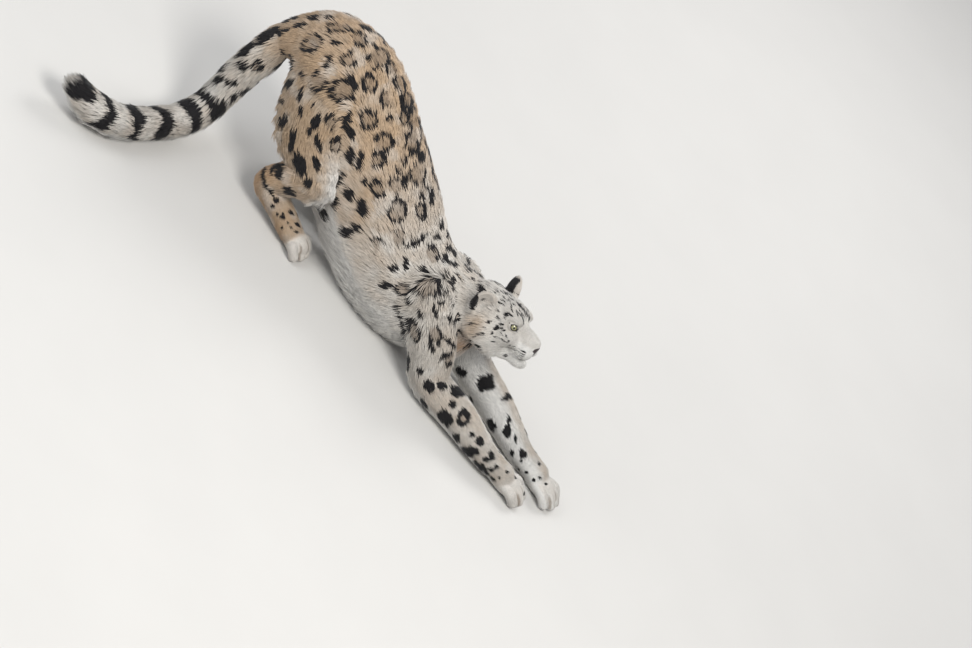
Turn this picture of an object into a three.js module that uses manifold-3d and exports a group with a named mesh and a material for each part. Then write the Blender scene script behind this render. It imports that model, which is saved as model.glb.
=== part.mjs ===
// A snow leopard, life size, as a still museum model in a low stretch: hind feet flat, rump high,
// chest down, both forelegs reaching forward, the tail dropping to the floor behind.
// Millimetres. +X is forward, +Y is the animal's left, +Z is up, and the floor is z = 0.
// The outer surface is the outside of the coat. The body is one soft shape, meshed finely where it is
// intricate, and parted by thin plane cuts into the pieces a person would name.

import * as THREE from "three";
import Module from "manifold-3d";
import { mergeVertices } from "three/addons/utils/BufferGeometryUtils.js";

const wasm = await Module();
wasm.setup();

// Driving dimensions
const GAP = 0.3; // saw cut between neighbouring pieces
const BODY_LIMIT = 2000; // half size of the blocks that stand for half spaces
const FOOTPRINT_CENTRE = [117, -192, 0]; // the skeleton's own zero is under the right hind foot

const HEAD_NOSE = [589, -14, 324]; // tip of the nose
const HEAD_PITCH = 17; // degrees, nose up
const HEAD_YAW = -6; // degrees, turned a little to the right
const HEAD_SCALE = 1.06;

const EYE_RADIUS = 13.5;
const EYE_AT = [-76, 28, 25]; // in the head's own frame, which starts at the nose tip
const EAR_BASES = { right: [-158, 58, 36], left: [-143, 52, 48] };
const EAR_UP = [-0.25, 0.42, 0.87]; // from the ear's base to its tip
const EAR_FACING = [0.72, 0.62, -0.1];
const EAR = { tall: 42, wide: 34, thick: 16 };

const CELLS = {
  trunk: 26,
  neck: 22,
  head: 11,
  ear: 8,
  nose: 6,
  jaw: 10,
  thigh: 22,
  leg: 18,
  paw: 11,
  tail: 20,
}; // how finely each piece is meshed

const TAIL_CUTS = [0, 2, 4, 6]; // the tail is parted halfway between these stations and the next
const FORE_SPLIT_Y = -13; // between the two forepaws
const LIMB_INNER_Y = 62; // how far from the middle the limbs are parted from the trunk

const COLOURS = {
  coat: 0xb9ab97,
  pale: 0xd9d5cb,
  dark: 0x2b2727,
  iris: 0xb8bf7a,
  leather: 0x8f6a62,
};

// Vector helpers
const add = (a, b) => [a[0] + b[0], a[1] + b[1], a[2] + b[2]];
const sub = (a, b) => [a[0] - b[0], a[1] - b[1], a[2] - b[2]];
const mul = (a, s) => [a[0] * s, a[1] * s, a[2] * s];
const dot = (a, b) => a[0] * b[0] + a[1] * b[1] + a[2] * b[2];
const cross = (a, b) => [
  a[1] * b[2] - a[2] * b[1],
  a[2] * b[0] - a[0] * b[2],
  a[0] * b[1] - a[1] * b[0],
];
const unit = (a) => mul(a, 1 / Math.hypot(...a));
const mix = (a, b, t) => a + (b - a) * t;
const mixPoint = (a, b, t) => add(mul(a, 1 - t), mul(b, t));
const clamp = (t, low, high) => Math.min(high, Math.max(low, t));
const mirrored = (p, side) => [p[0], p[1] * side, p[2]];

// A smooth union of two distances: k is the width of the blend.
function blend(a, b, k) {
  const h = clamp(0.5 + (0.5 * (b - a)) / k, 0, 1);
  return mix(b, a, h) - k * h * (1 - h);
}

// The distance to an ellipsoid whose axes are given by three unit vectors.
function ellipsoid(at, radii, axes) {
  const frame = axes ?? [[1, 0, 0], [0, 1, 0], [0, 0, 1]];
  return (p) => {
    const q = sub(p, at);
    let near = 0;
    let slope = 0;
    for (let i = 0; i < 3; i++) {
      const c = dot(q, frame[i]) / radii[i];
      near += c * c;
      slope += (c * c) / (radii[i] * radii[i]);
    }
    near = Math.sqrt(near);
    return near < 1e-6 ? -Math.min(...radii) : (near * (near - 1)) / Math.sqrt(slope);
  };
}

// One coordinate of a Catmull-Rom curve through four values.
function through(a, b, c, d, t) {
  const bend = -a + 3 * b - 3 * c + d;
  return 0.5 * (2 * b + (c - a) * t + (2 * a - 5 * b + 4 * c - d) * t * t + bend * t * t * t);
}

// A swept flesh shape through stations [x, y, z, tall, wide]: half its height and half its width.
// Its distance function also says how far along the sweep the nearest point is, from 0 to 1.
function sweep(stations, steps = 5) {
  const points = [];
  const last = stations.length - 1;
  for (let i = 0; i < last; i++) {
    const near = [Math.max(i - 1, 0), i, i + 1, Math.min(i + 2, last)].map((k) => stations[k]);
    for (let s = 0; s < steps; s++) {
      points.push(near[0].map((_, c) => through(...near.map((v) => v[c]), s / steps)));
    }
  }
  points.push(stations[last]);
  const spans = [];
  for (let i = 0; i + 1 < points.length; i++) {
    const start = points[i].slice(0, 3);
    const along = sub(points[i + 1].slice(0, 3), start);
    const length = Math.hypot(...along);
    const ahead = mul(along, 1 / length);
    const upright = Math.abs(ahead[2]) > 0.97 ? [1, 0, 0] : [0, 0, 1];
    const side = unit(cross(upright, ahead));
    spans.push({ start, ahead, length, side, up: cross(ahead, side), a: points[i], b: points[i + 1] });
  }
  const flesh = (p) => {
    let best = Infinity;
    let share = 0;
    for (let i = 0; i < spans.length; i++) {
      const s = spans[i];
      const x = p[0] - s.start[0];
      const y = p[1] - s.start[1];
      const z = p[2] - s.start[2];
      const along = x * s.ahead[0] + y * s.ahead[1] + z * s.ahead[2];
      const t = clamp(along / s.length, 0, 1);
      const tall = mix(s.a[3], s.b[3], t);
      const wide = mix(s.a[4], s.b[4], t);
      const deep = Math.min(tall, wide);
      const v = (x * s.up[0] + y * s.up[1] + z * s.up[2]) / tall;
      const w = (x * s.side[0] + y * s.side[1] + z * s.side[2]) / wide;
      const l = (along - t * s.length) / deep;
      const near = Math.sqrt(v * v + w * w + l * l);
      const slope = Math.sqrt((v / tall) ** 2 + (w / wide) ** 2 + (l / deep) ** 2);
      const d = near < 1e-6 ? -deep : (near * (near - 1)) / slope;
      if (d < best) {
        best = d;
        share = (i + t) / spans.length;
      }
    }
    return [best, share];
  };
  flesh.low = [0, 1, 2].map((c) => Math.min(...points.map((p) => p[c] - Math.max(p[3], p[4]))));
  flesh.high = [0, 1, 2].map((c) => Math.max(...points.map((p) => p[c] + Math.max(p[3], p[4]))));
  return flesh;
}

// The least that a swept shape's distance can be, from the box around it
function leastDistance(flesh, p) {
  const over = p.map((v, c) => Math.max(flesh.low[c] - v, v - flesh.high[c], 0));
  return Math.hypot(...over);
}

// Trunk: from the tail's root over the hips and ribs to the base of the neck
const trunk = sweep([
  [-414, 0, 386, 74, 78],
  [-345, 0, 424, 112, 106],
  [-240, -2, 412, 140, 122],
  [-115, -5, 312, 178, 128],
  [15, -8, 230, 190, 136],
  [140, -8, 162, 184, 138],
  [250, -6, 138, 170, 132],
  [345, -2, 152, 132, 104],
  [402, 0, 172, 104, 84],
]);
const neck = sweep([
  [300, -2, 180, 118, 100],
  [365, -3, 222, 100, 92],
  [415, -5, 252, 84, 84],
  [445, -7, 270, 64, 68],
]);

// Tail: down from the rump, then along the floor towards the animal's right, its tip lifted
const TAIL = [
  [-392, 0, 414, 56, 58],
  [-447, -8, 348, 60, 60],
  [-464, -30, 262, 59, 58],
  [-465, -66, 172, 57, 55],
  [-460, -118, 93, 54, 54],
  [-472, -198, 55, 53, 54],
  [-506, -316, 50, 53, 54],
  [-554, -418, 50, 54, 55],
  [-618, -480, 55, 54, 54],
  [-672, -508, 72, 44, 44],
];
const tail = sweep(TAIL);

// Legs: joints in order, right side first. The two sides differ, because the left foreleg reaches further.
const LEGS = {
  right: {
    side: -1,
    shoulder: [325, -78, 196],
    elbow: [470, -106, 66],
    wrist: [708, -104, 46],
    foreToe: [884, -64, 0],
    hip: [-262, -62, 392],
    knee: [-98, -108, 222],
    hock: [-200, -110, 78],
    hindToe: [22, -116, 0],
  },
  left: {
    side: 1,
    shoulder: [330, 74, 196],
    elbow: [500, 92, 74],
    wrist: [762, 44, 42],
    foreToe: [954, 38, 0],
    hip: [-262, 58, 392],
    knee: [-92, 108, 222],
    hock: [-192, 108, 78],
    hindToe: [30, 116, 0],
  },
};

const FORE_PAW = { long: 158, wide: 94, tall: 58, toe: 17.5 };
const HIND_PAW = { long: 108, wide: 96, tall: 62, toe: 17 };

// A paw with four toes. heel is its rear end at the wrist or the ball, and tip its foremost point.
function paw(heel, tip, size) {
  const ahead = unit([tip[0] - heel[0], tip[1] - heel[1], 0]);
  const left = [-ahead[1], ahead[0], 0];
  const place = (x, y, z) => [
    tip[0] + ahead[0] * x + left[0] * y,
    tip[1] + ahead[1] * x + left[1] * y,
    z,
  ];
  const palm = ellipsoid(
    place(-size.long * 0.5, 0, size.tall * 0.46),
    [size.long * 0.38, size.wide * 0.44, size.tall * 0.52],
    [ahead, left, [0, 0, 1]],
  );
  const toes = [-0.39, -0.14, 0.14, 0.39].map((across) => {
    const back = 0.16 * size.toe + Math.abs(across) ** 2 * size.long * 0.62;
    const y = across * size.wide;
    return sweep([
      [...place(-back - size.long * 0.42, y * 0.72, size.tall * 0.5), size.toe, size.toe * 0.95],
      [...place(-back - size.toe * 2.1, y, size.tall * 0.5), size.toe * 1.06, size.toe],
      [...place(-back - size.toe * 0.95, y, size.toe * 0.86), size.toe, size.toe * 0.9],
    ], 3);
  });
  return (p) => toes.reduce((d, toe) => blend(d, toe(p)[0], 5), palm(p));
}

// A leg's flesh: a swept limb and its paw, and how widely it melts into the trunk at its root.
function foreleg(j) {
  const side = j.side;
  const upper = mixPoint(j.shoulder, j.elbow, 0.55);
  const lower = mixPoint(j.elbow, j.wrist, 0.5);
  const knuckles = [mix(j.wrist[0], j.foreToe[0], 0.42), mix(j.wrist[1], j.foreToe[1], 0.42), 38];
  const limb = sweep([
    [j.shoulder[0] - 40, j.shoulder[1] + side * 4, j.shoulder[2] + 26, 70, 50],
    [...j.shoulder, 86, 54],
    [upper[0], upper[1] + side * 2, upper[2] + 4, 76, 52],
    [...j.elbow, 61, 50],
    [lower[0], lower[1], lower[2] + 2, 54, 48],
    [...j.wrist, 40, 41],
    [...knuckles, 33, 40],
  ]);
  return { limb, paw: paw(j.wrist, j.foreToe, FORE_PAW), rootBlend: 46 };
}

function hindLeg(j) {
  const side = j.side;
  const thigh = mixPoint(j.hip, j.knee, 0.5);
  const shin = mixPoint(j.knee, j.hock, 0.45);
  const ball = [mix(j.hock[0], j.hindToe[0], 0.6), mix(j.hock[1], j.hindToe[1], 0.6), 36];
  const limb = sweep([
    [j.hip[0] - 44, j.hip[1] - side * 4, j.hip[2] + 6, 92, 56],
    [j.hip[0] - 28, j.hip[1] + side * 5, j.hip[2] - 38, 120, 64],
    [thigh[0] - 50, thigh[1] + side * 8, thigh[2] - 34, 116, 64],
    [j.knee[0] - 30, j.knee[1], j.knee[2] - 14, 80, 54],
    [shin[0] - 10, shin[1], shin[2], 58, 46],
    [...j.hock, 41, 38],
    [...mixPoint(j.hock, ball, 0.55), 39, 40],
    [...ball, 33, 42],
  ]);
  return { limb, paw: paw(ball, j.hindToe, HIND_PAW), rootBlend: 52 };
}

const limbs = Object.values(LEGS).flatMap((j) => [foreleg(j), hindLeg(j)]);

// Head: its own frame starts at the nose tip, +X out of the nose, +Z up
const radians = (d) => (d * Math.PI) / 180;
const headTurn = new THREE.Matrix4()
  .makeRotationZ(radians(HEAD_YAW))
  .multiply(new THREE.Matrix4().makeRotationY(radians(-HEAD_PITCH)));
const headAxes = [0, 1, 2].map((c) => headTurn.elements.slice(4 * c, 4 * c + 3));
const headPoint = (p) => {
  const turned = headAxes.reduce((sum, axis, c) => add(sum, mul(axis, p[c] * HEAD_SCALE)), [0, 0, 0]);
  return add(HEAD_NOSE, turned);
};
const headPart = (at, radii) => ellipsoid(headPoint(at), mul(radii, HEAD_SCALE), headAxes);

// [place, radii, blend width] in the head's frame. A place off the middle is made on both sides.
const HEAD_FLESH = [
  [[-128, 0, 4], [74, 62, 62], 1],
  [[-166, 0, 16], [52, 62, 58], 24],
  [[-102, 0, 30], [46, 42, 40], 24],
  [[-76, 24, 41], [22, 17, 14], 14],
  [[-50, 0, 11], [53, 22, 22], 18],
  [[-18, 0, 0], [20, 15, 14], 14],
  [[-40, 0, -16], [40, 33, 27], 16],
  [[-21, 16, -22], [23, 19, 19], 9],
  [[-68, 34, -4], [26, 20, 20], 16],
  [[-98, 42, -10], [40, 30, 38], 20],
  [[-132, 48, -26], [44, 38, 50], 22],
  [[-104, 40, -44], [40, 30, 34], 18],
  [[-25, 0, -60], [24, 21, 17], 8],
  [[-62, 0, -58], [44, 28, 22], 16],
  [[-104, 0, -56], [48, 46, 34], 22],
];
const headParts = HEAD_FLESH.flatMap(([at, radii, k]) =>
  (at[1] ? [-1, 1] : [1]).map((side) => ({ shape: headPart(mirrored(at, side), radii), k })),
);
const ears = [["right", -1], ["left", 1]].map(([word, side]) => {
  const up = unit(mirrored(EAR_UP, side));
  const across = unit(cross(up, mirrored(EAR_FACING, side)));
  const facing = cross(across, up);
  const turned = [facing, across, up].map((v) => headAxes.reduce((sum, a, c) => add(sum, mul(a, v[c])), [0, 0, 0]));
  const base = mirrored(EAR_BASES[word], side);
  const size = [EAR.thick, EAR.wide, EAR.tall];
  const outer = ellipsoid(headPoint(add(base, mul(up, 8))), mul(size, HEAD_SCALE), turned);
  const hollow = add(base, add(mul(up, 14), mul(facing, 15)));
  const inner = ellipsoid(headPoint(hollow), mul([16, EAR.wide * 0.74, EAR.tall * 0.78], HEAD_SCALE), turned);
  return (p) => -blend(-outer(p), inner(p), 5);
});
const sockets = [-1, 1].map((side) => headPart([-72, side * 44, 24], [17, 13, 13]));

function headDistance(p) {
  const flesh = headParts.reduce((d, part) => blend(d, part.shape(p), part.k), 1e3);
  const hollowed = sockets.reduce((d, socket) => -blend(-d, socket(p), 9), flesh);
  return ears.reduce((d, ear) => blend(d, ear(p), 8), hollowed);
}

// The whole body: every piece of flesh melted together, roots of limbs widely and their ends barely
const ROOT_SHARE = 0.42;
const LIMB_END_BLEND = 4;
const PAW_REACH = 160; // how far a paw stands out from its limb's own box
const headBox = { low: sub(HEAD_NOSE, [260, 130, 190]), high: add(HEAD_NOSE, [20, 130, 130]) };

function bodyDistance(p) {
  let d = blend(trunk(p)[0], neck(p)[0], 40);
  if (leastDistance(headBox, p) < d + 26) d = blend(d, headDistance(p), 26);
  if (leastDistance(tail, p) < d + 34) {
    const [near, share] = tail(p);
    d = blend(d, near, mix(34, LIMB_END_BLEND, clamp(share / 0.2, 0, 1)));
  }
  for (const { limb, paw: foot, rootBlend } of limbs) {
    if (leastDistance(limb, p) > d + rootBlend + PAW_REACH) continue;
    const [near, share] = limb(p);
    const width = mix(rootBlend, LIMB_END_BLEND, clamp(share / ROOT_SHARE, 0, 1));
    d = blend(d, blend(near, foot(p), 12), width);
  }
  return d;
}

const THINNING = 0.5; // how far thinning may move the surface, as a share of a cell
const THINNING_ROUNDS = 14;
const FINISH = 0.09; // the same for a piece that has been cut, in millimetres
const DRAWN_BACK = 0.02;
const SHORT_FIRST = 1e-6; // weight of an edge's length among what thinning costs
const BLOCK = 4; // cells of a grid that are judged together where the surface is far off

// A closed mesh of the surface where distance is 0, inside a box, by surface nets on a grid of cells
function netOf(distance, low, high, cell) {
  const count = low.map((v, c) => Math.ceil((high[c] - v) / cell) + 3);
  const start = low.map((v) => v - cell);
  const index = (i, j, k) => (i * count[1] + j) * count[2] + k;
  const place = (i, j, k) => [start[0] + i * cell, start[1] + j * cell, start[2] + k * cell];
  const value = new Float64Array(count[0] * count[1] * count[2]);
  const blocks = count.map((n) => Math.ceil(n / BLOCK));
  for (let block = 0; block < blocks[0] * blocks[1] * blocks[2]; block++) {
    const from = [
      Math.floor(block / (blocks[1] * blocks[2])),
      Math.floor(block / blocks[2]) % blocks[1],
      block % blocks[2],
    ].map((v) => v * BLOCK);
    const middle = distance(place(...from.map((v) => v + (BLOCK - 1) / 2)));
    const far = Math.abs(middle) > 1.5 * BLOCK * cell;
    const to = from.map((v, c) => Math.min(v + BLOCK, count[c]));
    for (let i = from[0]; i < to[0]; i++) {
      for (let j = from[1]; j < to[1]; j++) {
        for (let k = from[2]; k < to[2]; k++) {
          const rim = [i, j, k].some((v, c) => v === 0 || v === count[c] - 1);
          value[index(i, j, k)] = rim ? cell : far ? middle : distance(place(i, j, k));
        }
      }
    }
  }
  const corners = [0, 1].flatMap((a) => [0, 1].flatMap((b) => [0, 1].map((c) => [a, b, c])));
  const edges = corners.flatMap((a, m) =>
    corners.flatMap((b, n) => (m < n && dot(sub(a, b), sub(a, b)) === 1 ? [[a, b]] : [])),
  );
  const vertices = [];
  const vertexOf = new Map();
  for (let i = 0; i + 1 < count[0]; i++) {
    for (let j = 0; j + 1 < count[1]; j++) {
      for (let k = 0; k + 1 < count[2]; k++) {
        const at = (c) => value[index(i + c[0], j + c[1], k + c[2])];
        let sum = [0, 0, 0];
        let hits = 0;
        for (const [a, b] of edges) {
          const va = at(a);
          const vb = at(b);
          if (va < 0 !== vb < 0) {
            sum = add(sum, mixPoint(a, b, va / (va - vb)));
            hits++;
          }
        }
        if (hits) {
          vertexOf.set(index(i, j, k), vertices.length);
          vertices.push(settled(distance, add(place(i, j, k), mul(sum, cell / hits)), cell));
        }
      }
    }
  }
  const triangles = [];
  const steps = [[1, 0, 0], [0, 1, 0], [0, 0, 1]];
  for (let i = 0; i + 1 < count[0]; i++) {
    for (let j = 0; j + 1 < count[1]; j++) {
      for (let k = 0; k + 1 < count[2]; k++) {
        steps.forEach((step, c) => {
          const inside = value[index(i, j, k)] < 0;
          if (inside === value[index(i + step[0], j + step[1], k + step[2])] < 0) return;
          const u = steps[(c + 1) % 3];
          const v = steps[(c + 2) % 3];
          const ring = [[0, 0], [1, 0], [1, 1], [0, 1]].map(([m, n]) =>
            vertexOf.get(index(i - m * u[0] - n * v[0], j - m * u[1] - n * v[1], k - m * u[2] - n * v[2])),
          );
          if (!inside) ring.reverse();
          triangles.push(ring[0], ring[1], ring[2], ring[0], ring[2], ring[3]);
        });
      }
    }
  }
  return thinned(vertices, triangles, cell * THINNING);
}

// The symmetric 4 by 4 matrix of squared distance to a plane through p with unit normal n, as ten numbers
function planeError(n, p) {
  const w = -dot(n, p);
  return [
    n[0] * n[0], n[0] * n[1], n[0] * n[2], n[0] * w,
    n[1] * n[1], n[1] * n[2], n[1] * w,
    n[2] * n[2], n[2] * w,
    w * w,
  ];
}

function errorAt(q, [x, y, z]) {
  return (
    x * (q[0] * x + 2 * (q[1] * y + q[2] * z + q[3])) +
    y * (q[4] * y + 2 * (q[5] * z + q[6])) +
    z * (q[7] * z + 2 * q[8]) +
    q[9]
  );
}

// Joins neighbouring vertices wherever the surface moves by less than the tolerance: flat places get
// few triangles, and bent ones keep theirs.
function thinned(points, corners, tolerance) {
  const faces = [];
  const around = points.map(() => new Set());
  const errors = points.map(() => new Array(10).fill(0));
  const normalOf = (f, at = (v) => points[v]) => {
    const [a, b, c] = f.map(at);
    return cross(sub(b, a), sub(c, a));
  };
  for (let i = 0; i < corners.length; i += 3) {
    const face = corners.slice(i, i + 3);
    const normal = normalOf(face);
    const flat = dot(normal, normal) > 1e-12;
    const error = flat ? planeError(unit(normal), points[face[0]]) : new Array(10).fill(0);
    face.forEach((v) => {
      around[v].add(faces.length);
      error.forEach((e, n) => (errors[v][n] += e));
    });
    faces.push(face);
  }
  const neighbours = (v) => new Set([...around[v]].flatMap((f) => faces[f]).filter((w) => w !== v));
  const best = (a, b) => {
    const error = errors[a].map((e, n) => e + errors[b][n]);
    const choices = [0, 0.5, 1].map((t) => mixPoint(points[a], points[b], t));
    const costs = choices.map((p) => errorAt(error, p));
    const cost = Math.min(...costs);
    const apart = sub(points[a], points[b]);
    return { cost: cost + SHORT_FIRST * dot(apart, apart), error, point: choices[costs.indexOf(cost)] };
  };
  const folds = (v, other, point) =>
    [...around[v]].some((f) => {
      if (faces[f].includes(other)) return false;
      const before = normalOf(faces[f]);
      const after = normalOf(faces[f], (w) => (w === v ? point : points[w]));
      return dot(before, after) < 0.3 * Math.hypot(...before) * Math.hypot(...after);
    });
  for (let round = 0; round < THINNING_ROUNDS; round++) {
    const limit = tolerance ** 2 * ((round + 1) / THINNING_ROUNDS);
    const candidates = [];
    points.forEach((_, a) =>
      neighbours(a).forEach((b) => {
        if (a >= b) return;
        const { cost } = best(a, b);
        if (cost < limit) candidates.push([cost, a, b]);
      }),
    );
    candidates.sort((m, n) => m[0] - n[0]);
    const touched = new Set();
    for (const [, a, b] of candidates) {
      if (touched.has(a) || touched.has(b)) continue;
      const nearA = neighbours(a);
      const nearB = neighbours(b);
      const shared = [...nearA].filter((v) => nearB.has(v));
      if (shared.length !== 2 || nearA.size + nearB.size - 4 < 4) continue;
      if (nearA.size + nearB.size > 16) continue;
      const { error, point } = best(a, b);
      if (folds(a, b, point) || folds(b, a, point)) continue;
      points[a] = point;
      errors[a] = error;
      for (const f of [...around[b]]) {
        if (faces[f].includes(a)) {
          faces[f].forEach((v) => around[v].delete(f));
          faces[f] = null;
        } else {
          faces[f] = faces[f].map((v) => (v === b ? a : v));
          around[a].add(f);
        }
      }
      around[b] = new Set();
      [a, b, ...nearA, ...nearB].forEach((v) => touched.add(v));
    }
  }
  const number = new Map();
  const taken = new Set();
  const kept = [];
  const triangles = faces.filter(Boolean).flat().map((v) => {
    if (!number.has(v)) {
      const place = () => points[v].map((c) => c.toFixed(3)).join();
      if (taken.has(place())) {
        // two folds meet in this point: this one is drawn back a little into its own fold
        const near = [...neighbours(v)];
        const middle = near.reduce((sum, w) => add(sum, mul(points[w], 1 / near.length)), [0, 0, 0]);
        points[v] = mixPoint(points[v], middle, DRAWN_BACK);
      }
      taken.add(place());
      number.set(v, kept.length);
      kept.push(points[v]);
    }
    return number.get(v);
  });
  return solid(kept.flat(), triangles);
}

// Moves a point onto the surface by a few steps along the slope, never further than most of a cell.
function settled(distance, start, cell) {
  const e = 0.5;
  let p = start;
  for (let n = 0; n < 3; n++) {
    const d = distance(p);
    const slope = [[e, 0, 0], [0, e, 0], [0, 0, e]].map(
      (step) => (distance(add(p, step)) - distance(sub(p, step))) / (2 * e),
    );
    const size = Math.max(dot(slope, slope), 0.2);
    p = sub(p, mul(slope, clamp(d, -cell * 0.3, cell * 0.3) / size));
  }
  return p;
}

function solid(vertices, triangles) {
  return new wasm.Manifold(
    new wasm.Mesh({
      numProp: 3,
      vertProperties: new Float32Array(vertices),
      triVerts: new Uint32Array(triangles),
    }),
  );
}

function solidOfGeometry(geometry) {
  geometry.deleteAttribute("normal");
  geometry.deleteAttribute("uv");
  const merged = mergeVertices(geometry, 1e-3);
  return solid(merged.attributes.position.array, merged.index.array);
}

function geometryOf(shape) {
  const mesh = shape.getMesh();
  const geometry = new THREE.BufferGeometry();
  geometry.setAttribute("position", new THREE.BufferAttribute(new Float32Array(mesh.vertProperties), 3));
  geometry.setIndex(new THREE.BufferAttribute(new Uint32Array(mesh.triVerts), 1));
  geometry.computeVertexNormals();
  return geometry;
}

// Of a cut shape, the largest piece: a cut may leave crumbs of fur beside it.
function largest(shape) {
  return shape.decompose().reduce((a, b) => (b.volume() > a.volume() ? b : a));
}

// A cut piece without the slivers that cutting leaves
function finished(shape) {
  const mesh = shape.getMesh();
  const points = [];
  for (let i = 0; i < mesh.vertProperties.length; i += mesh.numProp) {
    points.push([...mesh.vertProperties.slice(i, i + 3)]);
  }
  return thinned(points, [...mesh.triVerts], FINISH);
}

// The half space behind a plane, away from its normal: [a point on it, its outward normal]
function behind([point, normal], grow = 0) {
  const out = unit(normal);
  const block = new THREE.BoxGeometry(2 * BODY_LIMIT, 2 * BODY_LIMIT, 2 * BODY_LIMIT);
  const turn = new THREE.Quaternion().setFromUnitVectors(
    new THREE.Vector3(0, 0, 1),
    new THREE.Vector3(...out),
  );
  const centre = add(point, mul(out, grow - BODY_LIMIT));
  block.applyQuaternion(turn);
  block.translate(...centre);
  return solidOfGeometry(block);
}

const regionOf = (planes, grow = 0) =>
  planes.map((plane) => behind(plane, grow)).reduce((a, b) => a.intersect(b));

// Blocks for cutting, and the space that no piece has taken yet
const BOUNDS = [[-760, -570, 0], [990, 190, 600]];
let free = solidOfGeometry(
  new THREE.BoxGeometry(...sub(BOUNDS[1], BOUNDS[0])).translate(...mul(add(BOUNDS[0], BOUNDS[1]), 0.5)),
);
const pieces = new Map();

// Takes what the planes enclose of the free space for a piece, and meshes the body inside it.
function cutOut(name, cell, colour, planes, roughness = 0.95) {
  const region = planes.length ? free.intersect(regionOf(planes)) : free;
  if (planes.length) free = free.subtract(regionOf(planes, GAP));
  const box = region.boundingBox();
  const whole = netOf(bodyDistance, [...box.min], [...box.max], cell);
  pieces.set(name, { colour, roughness, shape: finished(largest(whole.intersect(region))) });
}

const AHEAD = [1, 0, 0];
const BACK = [-1, 0, 0];
const UP = [0, 0, 1];
const DOWN = [0, 0, -1];
const RIGHT = [0, -1, 0];
const LEFT = [0, 1, 0];

// Tail, root to tip
const tailCuts = TAIL_CUTS.map((n) => {
  const [here, next] = [TAIL[n].slice(0, 3), TAIL[n + 1].slice(0, 3)];
  return [mixPoint(here, next, 0.5), unit(sub(next, here))];
});
const flipped = ([point, normal]) => [point, mul(normal, -1)];
const clearOfLegs = [[-400, 0, 0], AHEAD];
tailCuts.slice().reverse().forEach((cut, n) => {
  const name = `tail_${tailCuts.length - n}`;
  cutOut(name, CELLS.tail, COLOURS.coat, [flipped(cut), clearOfLegs]);
});

// Head, with ears, nose and lower jaw parted from it first
const headNormal = (v) => headAxes.reduce((sum, axis, c) => add(sum, mul(axis, v[c])), [0, 0, 0]);
const headPlane = ([at, normal]) => [headPoint(at), headNormal(unit(normal))];
for (const [word, side] of [["right", -1], ["left", 1]]) {
  const out = [0, side, 0];
  cutOut(`ear_${word}`, CELLS.ear, COLOURS.dark, [
    [mirrored(EAR_BASES[word], side), mul(mirrored(EAR_UP, side), -1)],
    [[-112, 0, 0], AHEAD],
    [[-200, 0, 0], BACK],
    [[0, side * 24, 0], mul(out, -1)],
  ].map(headPlane));
}
cutOut("nose", CELLS.nose, COLOURS.leather, [
  [[-9, 0, 0], BACK],
  [[0, 0, -12], DOWN],
  [[0, -14, 0], RIGHT],
  [[0, 14, 0], LEFT],
].map(headPlane), 0.6);
cutOut("lower_jaw", CELLS.jaw, COLOURS.pale, [
  [[-20, 0, -37], [0.16, 0, 1]],
  [[-84, 0, 0], BACK],
  [[0, 0, -86], DOWN],
  [[0, -36, 0], RIGHT],
  [[0, 36, 0], LEFT],
].map(headPlane));
cutOut("head", CELLS.head, COLOURS.pale, [
  [[428, 0, 262], [-0.86, 0, -0.51]],
  [[0, 0, 198], DOWN],
]);

// Legs
for (const [name, j] of Object.entries(LEGS)) {
  const inward = [0, -j.side, 0];
  const upperArm = unit(sub(j.elbow, j.shoulder));
  const forearm = unit(sub(j.wrist, j.elbow));
  const femur = unit(sub(j.knee, j.hip));
  const shank = unit(sub(j.hock, j.knee));
  const foot = unit(sub(j.hindToe, j.hock));
  const acrossArm = unit(cross(upperArm, [0, 1, 0]));
  const acrossFemur = unit(cross([0, 1, 0], femur));
  const besideForearm = unit(cross([0, 0, -j.side], forearm));

  cutOut(`forepaw_${name}`, CELLS.paw, COLOURS.pale, [
    [j.wrist, mul(forearm, -1)],
    [[0, FORE_SPLIT_Y, 0], inward],
    [[0, 0, 140], UP],
  ]);
  cutOut(`forearm_${name}`, CELLS.leg, COLOURS.coat, [
    [j.elbow, mul(unit(add(upperArm, forearm)), -1)],
    [add(j.elbow, mul(inward, 52)), mul(besideForearm, 1)],
    [[0, 0, 176], UP],
  ]);
  cutOut(`hind_foot_${name}`, CELLS.paw, COLOURS.pale, [
    [j.hock, mul(unit(add(shank, foot)), -1)],
    [[0, j.side * 66, 0], inward],
    [[-20, 0, 72], [0.28, 0, 0.96]],
    [[-20, 0, 72], [0.46, 0, 0.89]],
  ]);
  cutOut(`shank_${name}`, CELLS.leg, COLOURS.coat, [
    [j.knee, mul(unit(add(femur, shank)), -1)],
    [[0, j.side * LIMB_INNER_Y, 0], inward],
    [[-62, 0, 0], AHEAD],
  ]);
  cutOut(`thigh_${name}`, CELLS.thigh, COLOURS.coat, [
    [add(j.hip, mul(femur, -96)), mul(femur, -1)],
    [[0, j.side * LIMB_INNER_Y, 0], inward],
    [add(j.hip, mul(acrossFemur, -112)), mul(acrossFemur, -1)],
    [[-62, 0, 0], AHEAD],
  ]);
  cutOut(`upper_arm_${name}`, CELLS.leg, COLOURS.coat, [
    [add(j.shoulder, mul(upperArm, -64)), mul(upperArm, -1)],
    [[0, j.side * LIMB_INNER_Y, 0], inward],
    [add(j.shoulder, mul(acrossArm, 92)), acrossArm],
    [add(j.shoulder, mul(acrossArm, -92)), mul(acrossArm, -1)],
  ]);
}

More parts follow.
